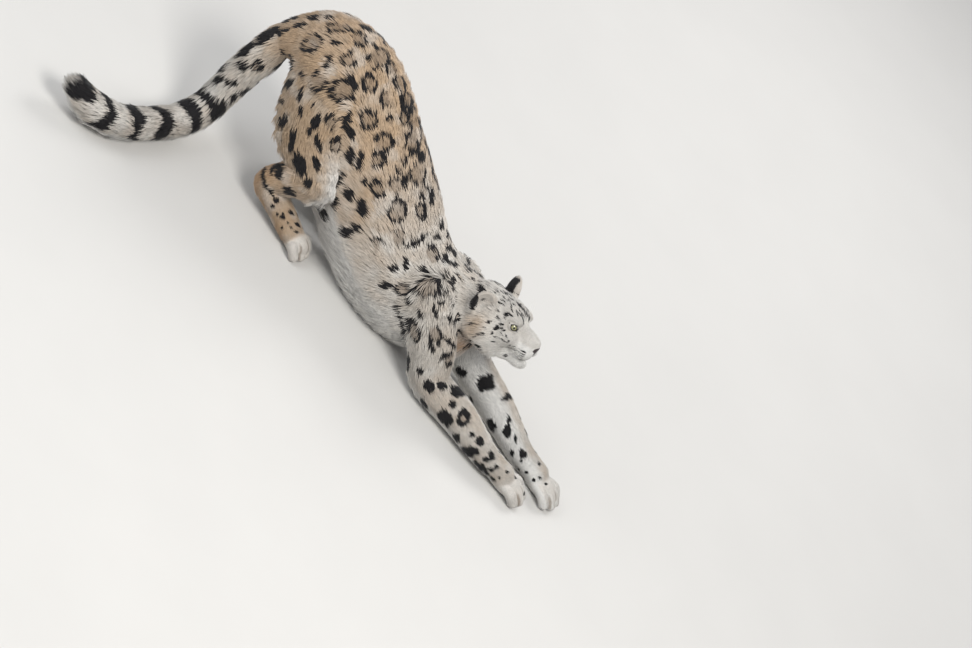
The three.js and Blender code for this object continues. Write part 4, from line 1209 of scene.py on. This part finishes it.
# Materials
class Nodes:
    """A small help for building a node tree."""

    def __init__(self, name):
        self.material = bpy.data.materials.new(name)
        self.material.use_nodes = True
        self.tree = self.material.node_tree
        self.shader = self.tree.nodes["Principled BSDF"]

    def node(self, kind, inputs=None, **settings):
        made = self.tree.nodes.new(kind)
        for key, value in settings.items():
            setattr(made, key, value)
        for key, value in (inputs or {}).items():
            self.put(made.inputs[key], value)
        return made

    def put(self, socket, value):
        if isinstance(value, bpy.types.NodeSocket):
            self.tree.links.new(value, socket)
        else:
            socket.default_value = value

    def shade(self, inputs):
        """Sets the shader's own inputs."""
        for key, value in inputs.items():
            self.put(self.shader.inputs[key], value)

    def math(self, operation, a, b):
        return self.node("ShaderNodeMath", {0: a, 1: b}, operation=operation).outputs[0]

    def mix(self, share, a, b, blend_type="MIX"):
        made = self.node("ShaderNodeMix", data_type="RGBA", blend_type=blend_type)
        self.put(made.inputs["Factor"], share)
        self.put(made.inputs["A"], a)
        self.put(made.inputs["B"], b)
        return made.outputs["Result"]

    def scaled(self, base, value):
        """A colour times a number."""
        grey = self.node("ShaderNodeCombineColor", {0: value, 1: value, 2: value})
        return self.mix(1.0, base, grey.outputs[0], "MULTIPLY")

    def channels(self, name):
        """The three numbers of a mesh's colour attribute."""
        attribute = self.node("ShaderNodeAttribute", attribute_name=name)
        split = self.node("ShaderNodeSeparateColor", {"Color": attribute.outputs["Color"]})
        return split.outputs[0], split.outputs[1], split.outputs[2]

    def noise(self, scale, detail):
        place = self.node("ShaderNodeTexCoord").outputs["Object"]
        inputs = {"Vector": place, "Scale": scale, "Detail": detail, "Roughness": 0.5}
        return self.node("ShaderNodeTexNoise", inputs).outputs["Fac"]

    def between(self, value, low, high, to_low=0.0, to_high=1.0):
        """A number moved from one range to another, and kept in it."""
        ranges = {"From Min": low, "From Max": high, "To Min": to_low, "To Max": to_high}
        return self.node("ShaderNodeMapRange", {"Value": value, **ranges}).outputs["Result"]

    def bump(self, scale, strength, distance):
        """Fine noise on the surface."""
        inputs = {"Height": self.noise(scale, 3), "Strength": strength, "Distance": distance}
        self.shade({"Normal": self.node("ShaderNodeBump", inputs).outputs[0]})


def colour(red, green, blue):
    """An sRGB colour of 0 to 255 as the linear one that a shader takes."""
    def linear(c):
        c = c / 255
        return c / 12.92 if c < 0.04045 else ((c + 0.055) / 1.055) ** 2.4
    return (linear(red), linear(green), linear(blue), 1.0)


COAT_COLOURS = {
    "grey": colour(198, 192, 183),
    "tan": colour(186, 160, 131),
    "orange": colour(184, 138, 92),
    "white": colour(230, 228, 223),
    # brown-grey of the ring centres, also used as the painted shade between the toes
    "core_and_toe_shade": colour(132, 114, 96),
    "dark": colour(24, 22, 24),
}


def coat_material(name, bump_distance, root_shade):
    """Fur: ground colours and dark marks by the mesh's attributes, with painted shade between the toes,
    darker at the root of each tuft.
    """
    n = Nodes(name)
    dark, core_and_toe_shade, warm = n.channels("marks")
    orange, white, _ = n.channels("tones")
    tip, chance, _ = n.channels("strand")
    fine = n.noise(620, 2)
    broad = n.noise(60, 2)
    base = n.mix(n.between(warm, 0.05, 0.95), COAT_COLOURS["grey"], COAT_COLOURS["tan"])
    base = n.mix(orange, base, COAT_COLOURS["orange"])
    base = n.mix(white, base, COAT_COLOURS["white"])
    # ring centres, and the painted shade between the toes
    base = n.mix(n.math("MULTIPLY", core_and_toe_shade, 0.62), base, COAT_COLOURS["core_and_toe_shade"])
    ragged = n.math("ADD", dark, n.math("MULTIPLY", n.math("SUBTRACT", fine, 0.5), 0.35))
    black = n.between(ragged, 0.34, 0.62)
    base = n.mix(black, base, COAT_COLOURS["dark"])
    value = n.math("ADD", 0.86, n.math("MULTIPLY", chance, 0.28))
    value = n.math("MULTIPLY", value, n.between(fine, 0.2, 0.8, 0.90, 1.10))
    value = n.math("MULTIPLY", value, n.between(broad, 0.2, 0.8, 0.94, 1.06))
    value = n.math("MULTIPLY", value, n.between(tip, 0.0, 0.85, root_shade, 1.06))
    n.shade({
        "Base Color": n.scaled(base, value),
        "Roughness": 0.74,
        "Specular IOR Level": 0.25,
        "Sheen Weight": 0.18,
        "Sheen Roughness": 0.5,
    })
    n.bump(1500, 0.5, bump_distance)
    return n.material


def write_attribute(mesh, name, values):
    """Three numbers at each vertex, as a colour attribute."""
    layer = mesh.attributes.new(name, "FLOAT_COLOR", "POINT")
    data = np.ones((len(mesh.vertices), 4), np.float32)
    data[:, :3] = values
    layer.data.foreach_set("color", data.ravel())


def write_look(mesh, look, along, chance):
    """What the coat's material reads: the markings, the place along a tuft, and a number for each."""
    nothing = np.zeros(len(look))
    write_attribute(mesh, "marks", look[:, :3])
    write_attribute(mesh, "tones", np.column_stack([look[:, 3], look[:, 4], nothing]))
    write_attribute(mesh, "strand", np.column_stack([nothing + along, nothing + chance, nothing]))


def build_mesh(name, vertices, triangles, uv=None, normals=None):
    mesh = bpy.data.meshes.new(name)
    mesh.vertices.add(len(vertices))
    mesh.vertices.foreach_set("co", np.asarray(vertices, np.float32).ravel())
    mesh.loops.add(triangles.size)
    mesh.loops.foreach_set("vertex_index", triangles.astype(np.int32).ravel())
    mesh.polygons.add(len(triangles))
    mesh.polygons.foreach_set("loop_start", np.arange(0, triangles.size, 3, dtype=np.int32))
    mesh.update(calc_edges=True)
    mesh.shade_smooth()
    if uv is not None:
        layer = mesh.uv_layers.new(name="OFBake")
        layer.uv.foreach_set("vector", np.asarray(uv, np.float32)[triangles.ravel()].ravel())
    if normals is not None:
        mesh.normals_split_custom_set_from_vertices(normals.astype(np.float32))
    return mesh


def place(mesh, material, slot, *replaced):
    """Puts a mesh in the scene as a piece of the animal."""
    piece = bpy.data.objects.new(mesh.name, mesh)
    bpy.context.scene.collection.objects.link(piece)
    mesh.materials.append(material)
    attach(piece, "root")
    if replaced:
        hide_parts(*replaced)


# The coat: the tufts' spacing, length and width by its depth, in millimetres
SPACING_DEPTHS = [2, 5, 9, 15, 30]
SPACINGS = [1.8, 2.15, 2.7, 3.5, 4.25]
FACE_SPACING = 1.65
BARE_SPACING = 1e3
SIZE_DEPTHS = [1, 4, 9, 16, 40]
LENGTHS = [4.0, 9.5, 20, 34, 66]
WIDTHS = [1.0, 1.6, 2.4, 3.2, 4.3]
# Tufts are seven-point locks where the coat is deeper than LONG_COAT, and four-point spikes elsewhere
LONG_COAT = 6.5
LONG_RISE = 0.47
SHORT_RISE = 0.30
# Tufts gather towards scattered points, this far apart in a deep coat and in a shallow one
DEEP_COAT = 11
DEEP_GATHER = 17.0
SHALLOW_GATHER = 9.0
# How far a root is sunk in the skin, the lowest point of a tuft, and where along it the colour is taken
SUNK = 0.7
LOWEST_TUFT = 0.35
COLOUR_AT = 0.35


def tuft_spacing(field, depth, p):
    """How far apart the tufts are: closest on the face, and a little closer on the paws."""
    face = in_face(p) & (field["group"] == HEAD_ID)
    spacing = np.where(face, FACE_SPACING, np.interp(depth, SPACING_DEPTHS, SPACINGS))
    return spacing * (1 - 0.12 * smooth(0.2, 0.7, field["paw"]))


def tuft_size(field, depth, p):
    """The tufts' length and width: shorter on the paws, and longer between thigh and flank."""
    length = np.interp(depth, SIZE_DEPTHS, LENGTHS) * (1 - 0.42 * smooth(0.2, 0.7, field["paw"]))
    length = length * (1 + 0.2 * groin_fold(p, field))
    return length, np.interp(depth, SIZE_DEPTHS, WIDTHS)


def scatter_roots(mesh_data, spacing):
    """Roots spread evenly over the triangles, as many as the spacing at their corners asks for."""
    vertices, normals, triangles = mesh_data
    a, b, c = (vertices[triangles[:, i]] for i in range(3))
    area = 0.5 * np.linalg.norm(np.cross(b - a, c - a), axis=1)
    wanted = area / (spacing[triangles].mean(axis=1) ** 2)
    total = np.cumsum(wanted)
    hits = np.arange(rng.uniform(), total[-1], 1.0)
    chosen = np.searchsorted(total, hits)
    u, v = rng.uniform(size=(2, len(chosen)))
    flip = u + v > 1
    u[flip], v[flip] = 1 - u[flip], 1 - v[flip]
    weights = np.stack([1 - u - v, u, v], axis=1)
    corners = triangles[chosen]
    root = (vertices[corners] * weights[:, :, None]).sum(axis=1)
    normal = unit((normals[corners] * weights[:, :, None]).sum(axis=1))
    return root, normal, corners, weights


LOCK_FACES = np.array([
    [0, 4, 1], [0, 3, 4], [1, 5, 2], [1, 4, 5], [2, 3, 0], [2, 5, 3],
    [3, 6, 4], [4, 6, 5], [5, 6, 3], [0, 1, 2],
])
SPIKE_FACES = np.array([[0, 3, 1], [1, 3, 2], [2, 3, 0], [0, 1, 2]])
# Each tuft's patch of the OFBake map: its root's three corners, a lock's middle three, and its tip
PATCH = 0.003
ROOT_UV = [[-0.5, -0.5], [-0.5, 0.5], [-0.42, 0]]
MIDDLE_UV = [[0, -0.4], [0, 0.4], [0.05, 0]]
TIP_UV = [[0.5, 0]]
LOCK_UV = np.array(ROOT_UV + MIDDLE_UV + TIP_UV) * PATCH
SPIKE_UV = np.array(ROOT_UV + TIP_UV) * PATCH


def turned(v, axis, angle):
    """v turned about axis by angle."""
    c, s = np.cos(angle)[:, None], np.sin(angle)[:, None]
    return v * c + np.cross(axis, v) * s + axis * (axis * v).sum(axis=1, keepdims=True) * (1 - c)


def grow(root, normal, field, depth, long_tuft):
    """The corner points and shading normals of every tuft, in skeleton millimetres."""
    n = len(root)
    length, width = tuft_size(field, depth, root)
    gather = DEEP_GATHER if depth.mean() > DEEP_COAT else SHALLOW_GATHER
    seed_at, seed_number = cell_seed(root, gather, 31)
    length = length * (0.86 + 0.28 * rng.uniform(size=n)) * (0.88 + 0.26 * seed_number)
    lie = unit(field["lie"] - normal * (field["lie"] * normal).sum(axis=1, keepdims=True))
    drift = (noise(root, 70, 41) - 0.5) * 0.55 + (noise(root, 24, 42) - 0.5) * 0.5
    lie = turned(lie, normal, drift + rng.normal(0, 0.10, n))
    side = np.cross(lie, normal)
    to_seed = seed_at - root
    to_seed = to_seed - normal * (to_seed * normal).sum(axis=1, keepdims=True)
    rise = (LONG_RISE if long_tuft else SHORT_RISE) + 0.16 * (rng.uniform(size=n) - 0.5)
    fall = 0.10 + 0.10 * (rng.uniform(size=n) - 0.5)
    half = (length * 0.5)[:, None]
    mid = root + half * (lie * np.cos(rise)[:, None] + normal * np.sin(rise)[:, None]) + to_seed * 0.08
    tip = mid + half * (lie * np.cos(fall)[:, None] + normal * np.sin(fall)[:, None]) + to_seed * 0.16
    thick = (width * 0.42)[:, None]
    w = (width * 0.5)[:, None]
    sunk = root - normal * SUNK
    if long_tuft:
        corners = np.stack([
            sunk - side * w, sunk + side * w, sunk + normal * thick,
            mid - side * w * 0.8, mid + side * w * 0.8, mid + normal * thick * 0.8, tip,
        ], axis=1)
        shade = np.stack([
            normal - side * 0.3, normal + side * 0.3, normal,
            normal - side * 0.45, normal + side * 0.45, normal + lie * 0.1, normal + lie * 0.35,
        ], axis=1)
        strand = np.array([0, 0, 0, 0.5, 0.5, 0.5, 1.0])
    else:
        end = root + (tip - root) * 0.98
        corners = np.stack([sunk - side * w, sunk + side * w, sunk + normal * thick, end], axis=1)
        shade = np.stack([normal - side * 0.3, normal + side * 0.3, normal, normal + lie * 0.3], axis=1)
        strand = np.array([0, 0, 0, 1.0])
    corners[:, :, 2] = np.maximum(corners[:, :, 2], LOWEST_TUFT)
    return corners, unit(shade), strand, tip


def unwrap(field):
    """Each root's place on an unwrap of the body: along the sweep or the head, and round it."""
    u = field["arc"].copy()
    v = field["angle"].copy()
    m = field["group"] == HEAD_ID
    h = field["head"]
    u[m] = h[m, 0]
    v[m] = np.arctan2(h[m, 1], -(h[m, 2] + 4))
    return u, v


def fill(values, low, high):
    """Values stretched to run from low to high."""
    a, b = values.min(), values.max()
    return low + (high - low) * (values - a) / max(b - a, 1e-6)


def ear_patches(h, u, v):
    """Lays the two faces of each ear in four squares of their own at the end of the map."""
    number = 0
    taken = np.zeros(len(h), bool)
    for word, (base, facing, across, up) in ear_frames.items():
        r = h - base
        near = (ear_distance(h, word) < 5) & (r @ up > -2)
        for face in (near & (r @ facing > 3), near & (r @ facing <= 3)):
            face &= ~taken
            taken |= face
            if face.any():
                u[face] = fill((r @ across)[face], 0.85, 0.98)
                v[face] = fill((r @ up)[face], 0.02 + 0.25 * number, 0.23 + 0.25 * number)
            number += 1
    return u, v


MOST_TRIANGLES = 190000
FEWEST_TUFTS = 50


def make_coat(skin_data, field, depth, marks, material):
    """Roots all over the skin, and their tufts in pieces, by group, kind and place along the body."""
    spacing = tuft_spacing(field, depth, skin_data[0])
    spacing = np.where(no_tufts(skin_data[0]), BARE_SPACING, spacing)
    root, normal, corners, weights = scatter_roots(skin_data, spacing)
    keep = ~no_tufts(root)
    root, normal, corners, weights = root[keep], normal[keep], corners[keep], weights[keep]
    root_depth = (depth[corners] * weights).sum(axis=1)
    root_field = in_chunks(full_body, root)
    long_tuft = root_depth > LONG_COAT
    for number, group_name in enumerate(GROUPS):
        for is_long in (True, False):
            members = np.nonzero((root_field["group"] == number) & (long_tuft == is_long))[0]
            if len(members) < FEWEST_TUFTS:
                continue
            faces = LOCK_FACES if is_long else SPIKE_FACES
            pieces = math.ceil(len(members) * len(faces) / MOST_TRIANGLES)
            u, _ = unwrap({key: value[members] for key, value in root_field.items()})
            order = np.argsort(u, kind="stable")
            for k, chosen in enumerate(np.array_split(order, pieces)):
                name = f"coat_{group_name}_{'long' if is_long else 'short'}_{k + 1}"
                index = members[chosen]
                make_piece(name, index, root, normal, root_field, root_depth, is_long, marks, material)


def make_piece(name, index, root, normal, field, depth, is_long, marks, material):
    """One piece of the coat: its tufts, their patches of the map and their colours."""
    part = {key: value[index] for key, value in field.items()}
    corners, shade, strand, tip = grow(root[index], normal[index], part, depth[index], is_long)
    n, size = corners.shape[:2]
    seen = root[index] + (tip - root[index]) * COLOUR_AT
    look = np.repeat(markings(seen, normal[index], part, marks), size, axis=0)
    chance = np.repeat(rng.uniform(size=n), size)
    faces = LOCK_FACES if is_long else SPIKE_FACES
    patch = LOCK_UV if is_long else SPIKE_UV
    triangles = (faces[None] + (np.arange(n) * size)[:, None, None]).reshape(-1, 3)
    u, v = unwrap(part)
    head = part["group"][0] == HEAD_ID
    u, v = fill(u, 0.02, 0.80 if head else 0.98), fill(v, 0.02, 0.98)
    if head:
        u, v = ear_patches(part["head"], u, v)
    uv = (np.stack([u, v], axis=1)[:, None, :] + patch[None]).reshape(-1, 2)
    mesh = build_mesh(name, to_row(corners.reshape(-1, 3)), triangles, uv, shade.reshape(-1, 3))
    write_look(mesh, look, np.tile(strand, n), chance)
    place(mesh, material, "coat")


def no_tufts(p):
    """Bare skin: the nose leather, the lips, the opening between the lids, and all below 1 mm."""
    h = to_head(p)
    bare = np.zeros(len(p), bool)
    m = np.nonzero(in_box(h, *BARE_BOX))[0]
    if len(m):
        q = h[m]
        found = nose_region(q) < 0.5
        for side in (1, -1):
            at = mirrored(EYE_AT, side)
            found |= (lid_edge(q, side) < 2.4) & (np.linalg.norm(q - at, axis=1) < 19)
            found |= mouth[side](q, MOUTH_REACH)["d"] < 3.0
        bare[m] = found
    return bare | (p[:, 2] < 1.0)


# The nose leather's two ellipsoids, in the head's frame: place and radii
NOSE_PAD = [[[0, 0, -3], [10, 13.5, 9.5]], [[-1, 0, -12], [8, 6, 12]]]


def nose_region(h):
    top, low = (ellipsoid(h, at, radii) for at, radii in NOSE_PAD)
    return blend(top, low, 3)


def simple_material(name, rgb, roughness, scale, amount):
    """One colour with specks, and a little bump."""
    n = Nodes(name)
    value = n.between(n.noise(scale, 3), 0.25, 0.75, 1 - amount, 1 + amount)
    n.shade({"Base Color": n.scaled(rgb, value), "Roughness": roughness})
    n.bump(scale * 2, 0.4, 0.0004)
    return n.material


# Skin and coat, made in the skeleton's millimetres
LEAST_DEPTH, MOST_DEPTH = 0.8, 45
SKIN_ALONG, SKIN_CHANCE = 0.35, 0.5
EYES = ("eye_left", "eye_right")


def full_body(p):
    return body(p, True)


skin_mesh = make_skin()
points, normals = mesh_arrays(skin_mesh)
field = in_chunks(full_body, points)
depth = np.clip(-field["outer"], LEAST_DEPTH, MOST_DEPTH)
marks = seed_marks(points, normals, field)
write_look(skin_mesh, markings(points, normals, field, marks), SKIN_ALONG, SKIN_CHANCE)
skin_mesh.calc_loop_triangles()
triangles = np.empty(len(skin_mesh.loop_triangles) * 3, np.int32)
skin_mesh.loop_triangles.foreach_get("vertices", triangles)
triangles = triangles.reshape(-1, 3)
coat = coat_material("snow_leopard_coat", 0.0004, 0.62)
under = coat_material("snow_leopard_skin", 0.0010, 0.75)
make_coat((points, normals, triangles), field, depth, marks, coat)
skin_mesh.vertices.foreach_set("co", to_row(points).astype(np.float32).ravel())
skin_mesh.update()
flesh = [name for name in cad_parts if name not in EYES]
place(skin_mesh, under, "coat", *flesh)

# Eyes
EYE_RINGS, EYE_AROUND = 40, 64
# How far the cornea stands out, in shares of the radius, and how wide it is in radians from the pole
CORNEA_RISE, CORNEA_WIDTH = 0.035, 0.42
EYE_COLOURS = {
    "pale": colour(164, 160, 118),
    "green": colour(130, 128, 90),
    "dark_speck": colour(118, 116, 78),
    "light_speck": colour(214, 210, 172),
    "rim": colour(22, 20, 18),
    "pupil": colour(6, 6, 7),
}


def make_eye(side):
    """A ball with a bulging cornea, its pole turned to where the eye looks."""
    at, gaze, corner, rise = eye_frame(side)
    axes = np.array([corner, rise, gaze])
    rings, around = EYE_RINGS, EYE_AROUND
    rows = []
    for i in range(rings + 1):
        polar = math.pi * i / rings
        bulge = 1.0 + CORNEA_RISE * math.exp(-((polar / CORNEA_WIDTH) ** 2))
        for k in range(around):
            turn = 2 * math.pi * k / around
            r = math.sin(polar)
            rows.append(np.array([r * math.cos(turn), r * math.sin(turn), math.cos(polar)]) * bulge)
    local = np.array(rows) * (EYE_RADIUS / HEAD_SCALE)
    vertices = to_row(from_head(at + local @ axes))
    faces = []
    for i in range(rings):
        for k in range(around):
            a, b = i * around + k, i * around + (k + 1) % around
            c, d = a + around, b + around
            faces += [[a, c, b], [b, c, d]]
    faces = np.array(faces)
    if np.linalg.det(axes) < 0:
        faces = faces[:, ::-1]
    polar = np.repeat(np.arange(rings + 1) / rings, around)
    turn = np.tile(np.arange(around) / around, rings + 1)
    mesh = build_mesh("eyeball_left" if side > 0 else "eyeball_right", vertices, faces)
    write_attribute(mesh, "iris", np.column_stack([polar, turn, turn * 0]))
    return mesh


def eye_material():
    """A pale iris with specks, a dark pupil and rim, by the share of the way from pole to pole."""
    n = Nodes("snow_leopard_eye")
    polar, _, _ = n.channels("iris")
    iris = n.mix(n.between(polar, 0.06, 0.17), EYE_COLOURS["pale"], EYE_COLOURS["green"])
    dark_specks = n.between(n.noise(900, 4), 0.35, 0.7, 0, 0.4)
    iris = n.mix(dark_specks, iris, EYE_COLOURS["dark_speck"])
    light_specks = n.between(n.noise(2400, 2), 0.4, 0.7, 0, 0.25)
    iris = n.mix(light_specks, iris, EYE_COLOURS["light_speck"])
    ringed = n.mix(n.between(polar, 0.20, 0.225), iris, EYE_COLOURS["rim"])
    seen = n.mix(n.between(polar, 0.070, 0.080), EYE_COLOURS["pupil"], ringed)
    n.shade({"Base Color": seen, "Roughness": 0.12, "Coat Weight": 1.0, "Coat Roughness": 0.02})
    return n.material


eye_look = eye_material()
place(make_eye(1), eye_look, "eye", "eye_left")
place(make_eye(-1), eye_look, "eye", "eye_right")

# Nose leather: a thin solid over the tip of the nose, with the nostrils sunk in it
NOSE_STEP = 0.8
NOSE_LOW = np.array([-16.0, -16, -26])
NOSE_HIGH = np.array([12.0, 16, 10])
LEATHER_OVER_SKIN = 0.7


def make_nose():
    count = np.ceil((NOSE_HIGH - NOSE_LOW) / NOSE_STEP).astype(int)
    h = NOSE_LOW + lattice(count) * NOSE_STEP
    skin_there = in_chunks(skin_distance, from_head(h)) / HEAD_SCALE
    d = np.maximum(skin_there - LEATHER_OVER_SKIN, nose_region(h))
    grid = openvdb.FloatGrid(background=4.0)
    grid.copyFromArray(d.reshape(count).astype(np.float32))
    made, quads = grid.convertToQuads(isovalue=0.0)
    vertices = to_row(from_head(np.array(made, float) * NOSE_STEP + NOSE_LOW))
    mesh = bpy.data.meshes.new("nose_leather")
    mesh.from_pydata(vertices, [], np.array(quads, int))
    mesh.update()
    mesh.shade_smooth()
    return mesh


leather = simple_material("nose_leather", colour(48, 37, 38), 0.42, 1400, 0.28)
place(make_nose(), leather, "nose_leather")

# Whiskers: long tapering bristles in rows on the muzzle, and a few over each eye
BRISTLE_STEPS = 8
WHISKERS_IN_ROW = 6
BROW_WHISKERS = 4


def bristle(root, way, length, thick, sag):
    """A bristle of four sides: its points and its triangles, closed at both ends."""
    steps = BRISTLE_STEPS
    middle = []
    for i in range(steps + 1):
        t = i / steps
        droop = np.array([-0.35 * length * t * t * 0.6, 0, -sag * length * t * t])
        middle.append(root + way * length * t + droop)
    middle = np.array(middle)
    ahead = unit(np.gradient(middle, axis=0))
    a = unit(np.cross(ahead, [0.0, 0, 1]))
    b = np.cross(ahead, a)
    rows = []
    for i in range(steps):
        r = thick * (1 - 0.93 * i / steps)
        for k in range(4):
            turn = math.pi / 2 * k
            rows.append(middle[i] + r * (a[i] * math.cos(turn) + b[i] * math.sin(turn)))
    rows.append(middle[-1])
    faces = []
    for i in range(steps - 1):
        for k in range(4):
            p0, p1 = i * 4 + k, i * 4 + (k + 1) % 4
            faces += [[p0, p1, p0 + 4], [p1, p1 + 4, p0 + 4]]
    for k in range(4):
        faces.append([(steps - 1) * 4 + k, (steps - 1) * 4 + (k + 1) % 4, steps * 4])
    faces += [[0, 2, 1], [0, 3, 2]]
    return np.array(rows), np.array(faces)


def make_whiskers():
    bristles = []
    for side in (1, -1):
        for row in range(WHISKER_ROWS):
            for k in range(WHISKERS_IN_ROW):
                start = np.array([-12 - k * 5.0 - row * 1.2, side * 40.0, -14 - row * 5.2 + k * 0.5])
                root = march(start, np.array([0.0, -side, 0.0]))
                way = [-0.55 - 0.10 * k, side * (1.0 - 0.05 * k), -0.30 - 0.14 * row + 0.05 * k]
                way = unit(np.array(way) + rng.normal(0, 0.05, 3))
                length = (44 + 11 * k) * (0.75 + 0.12 * row) * rng.uniform(0.85, 1.1)
                bristles.append(bristle(root - way * 1.0, way, length, 0.34, 0.30))
        for k in range(BROW_WHISKERS):
            start = np.array([-66 - 5.0 * k, side * (24 + 2.0 * k), 80.0])
            root = march(start, np.array([0, 0, -1.0]))
            way = unit(np.array([-0.15, side * 0.5, 0.9]) + rng.normal(0, 0.06, 3))
            bristles.append(bristle(root, way, rng.uniform(26, 40), 0.28, -0.1))
    rows = np.vstack([rows for rows, _ in bristles])
    faces = np.vstack([faces + i * len(points) for i, (points, faces) in enumerate(bristles)])
    return build_mesh("whiskers", to_row(from_head(rows)), faces)


def march(start, way):
    """The first point of the skin from start along way, in the head's frame."""
    h = np.array(start, float)
    for _ in range(60):
        d = skin_distance(from_head(h)[None])[0] / HEAD_SCALE
        if d < 0.05:
            break
        h = h + way * max(d, 0.05) * 0.8
    return h


hair = simple_material("whisker", colour(238, 236, 230), 0.4, 300, 0.06)
place(make_whiskers(), hair, "coat")

# Stage
FLOOR_HALF = 12
floor_mesh = bpy.data.meshes.new("floor")
bm = bmesh.new()
bmesh.ops.create_grid(bm, x_segments=1, y_segments=1, size=FLOOR_HALF)
bm.to_mesh(floor_mesh)
bm.free()
floor = bpy.data.objects.new("floor", floor_mesh)
bpy.context.scene.collection.objects.link(floor)
floor.data.materials.append(simple_material("plain_floor", colour(206, 204, 200), 0.9, 3, 0.015))

# Camera
SENSOR_WIDTH = 36
CLIP_END = 60
picture_width = 2 * PICTURE_MIDDLE[0] / PIXELS_PER_METRE
camera_data = bpy.data.cameras.new("camera")
camera = bpy.data.objects.new("camera", camera_data)
bpy.context.scene.collection.objects.link(camera)
turn = Matrix((VIEW_X, VIEW_Y, VIEW_Z)).transposed().to_4x4()
camera.matrix_world = Matrix.Translation(Vector(to_row(AIM + VIEW_Z * CAMERA_DISTANCE))) @ turn
camera_data.sensor_width = SENSOR_WIDTH
camera_data.lens = SENSOR_WIDTH * CAMERA_DISTANCE * MM / picture_width
camera_data.clip_end = CLIP_END
bpy.context.scene.camera = camera


def soft_light(name, at, target, size, power, tint=(1, 1, 1)):
    """A round lamp: its place, what it is turned to, its width in metres and its power in watts."""
    data = bpy.data.lights.new(name, "AREA")
    data.shape = "DISK"
    data.size = size
    data.energy = power
    data.color = tint
    light = bpy.data.objects.new(name, data)
    bpy.context.scene.collection.objects.link(light)
    light.location = at
    way = Vector(target) - Vector(at)
    light.rotation_euler = way.to_track_quat("-Z", "Y").to_euler()


soft_light("key", (1.6, -2.4, 4.2), (0, 0, 0.2), 2.2, 168, (1.0, 0.985, 0.96))
soft_light("fill", (-3.2, -2.0, 2.6), (0, 0, 0.2), 3.0, 72, (0.94, 0.97, 1.0))
soft_light("rim", (0.5, 3.4, 3.2), (0, 0, 0.3), 2.4, 90)
WORLD_COLOUR = (0.93, 0.95, 1.0, 1)
WORLD_STRENGTH = 0.46
world = bpy.data.worlds.new("studio")
world.use_nodes = True
world.node_tree.nodes["Background"].inputs[0].default_value = WORLD_COLOUR
world.node_tree.nodes["Background"].inputs[1].default_value = WORLD_STRENGTH
bpy.context.scene.world = world
bpy.context.scene.view_settings.view_transform = "Standard"
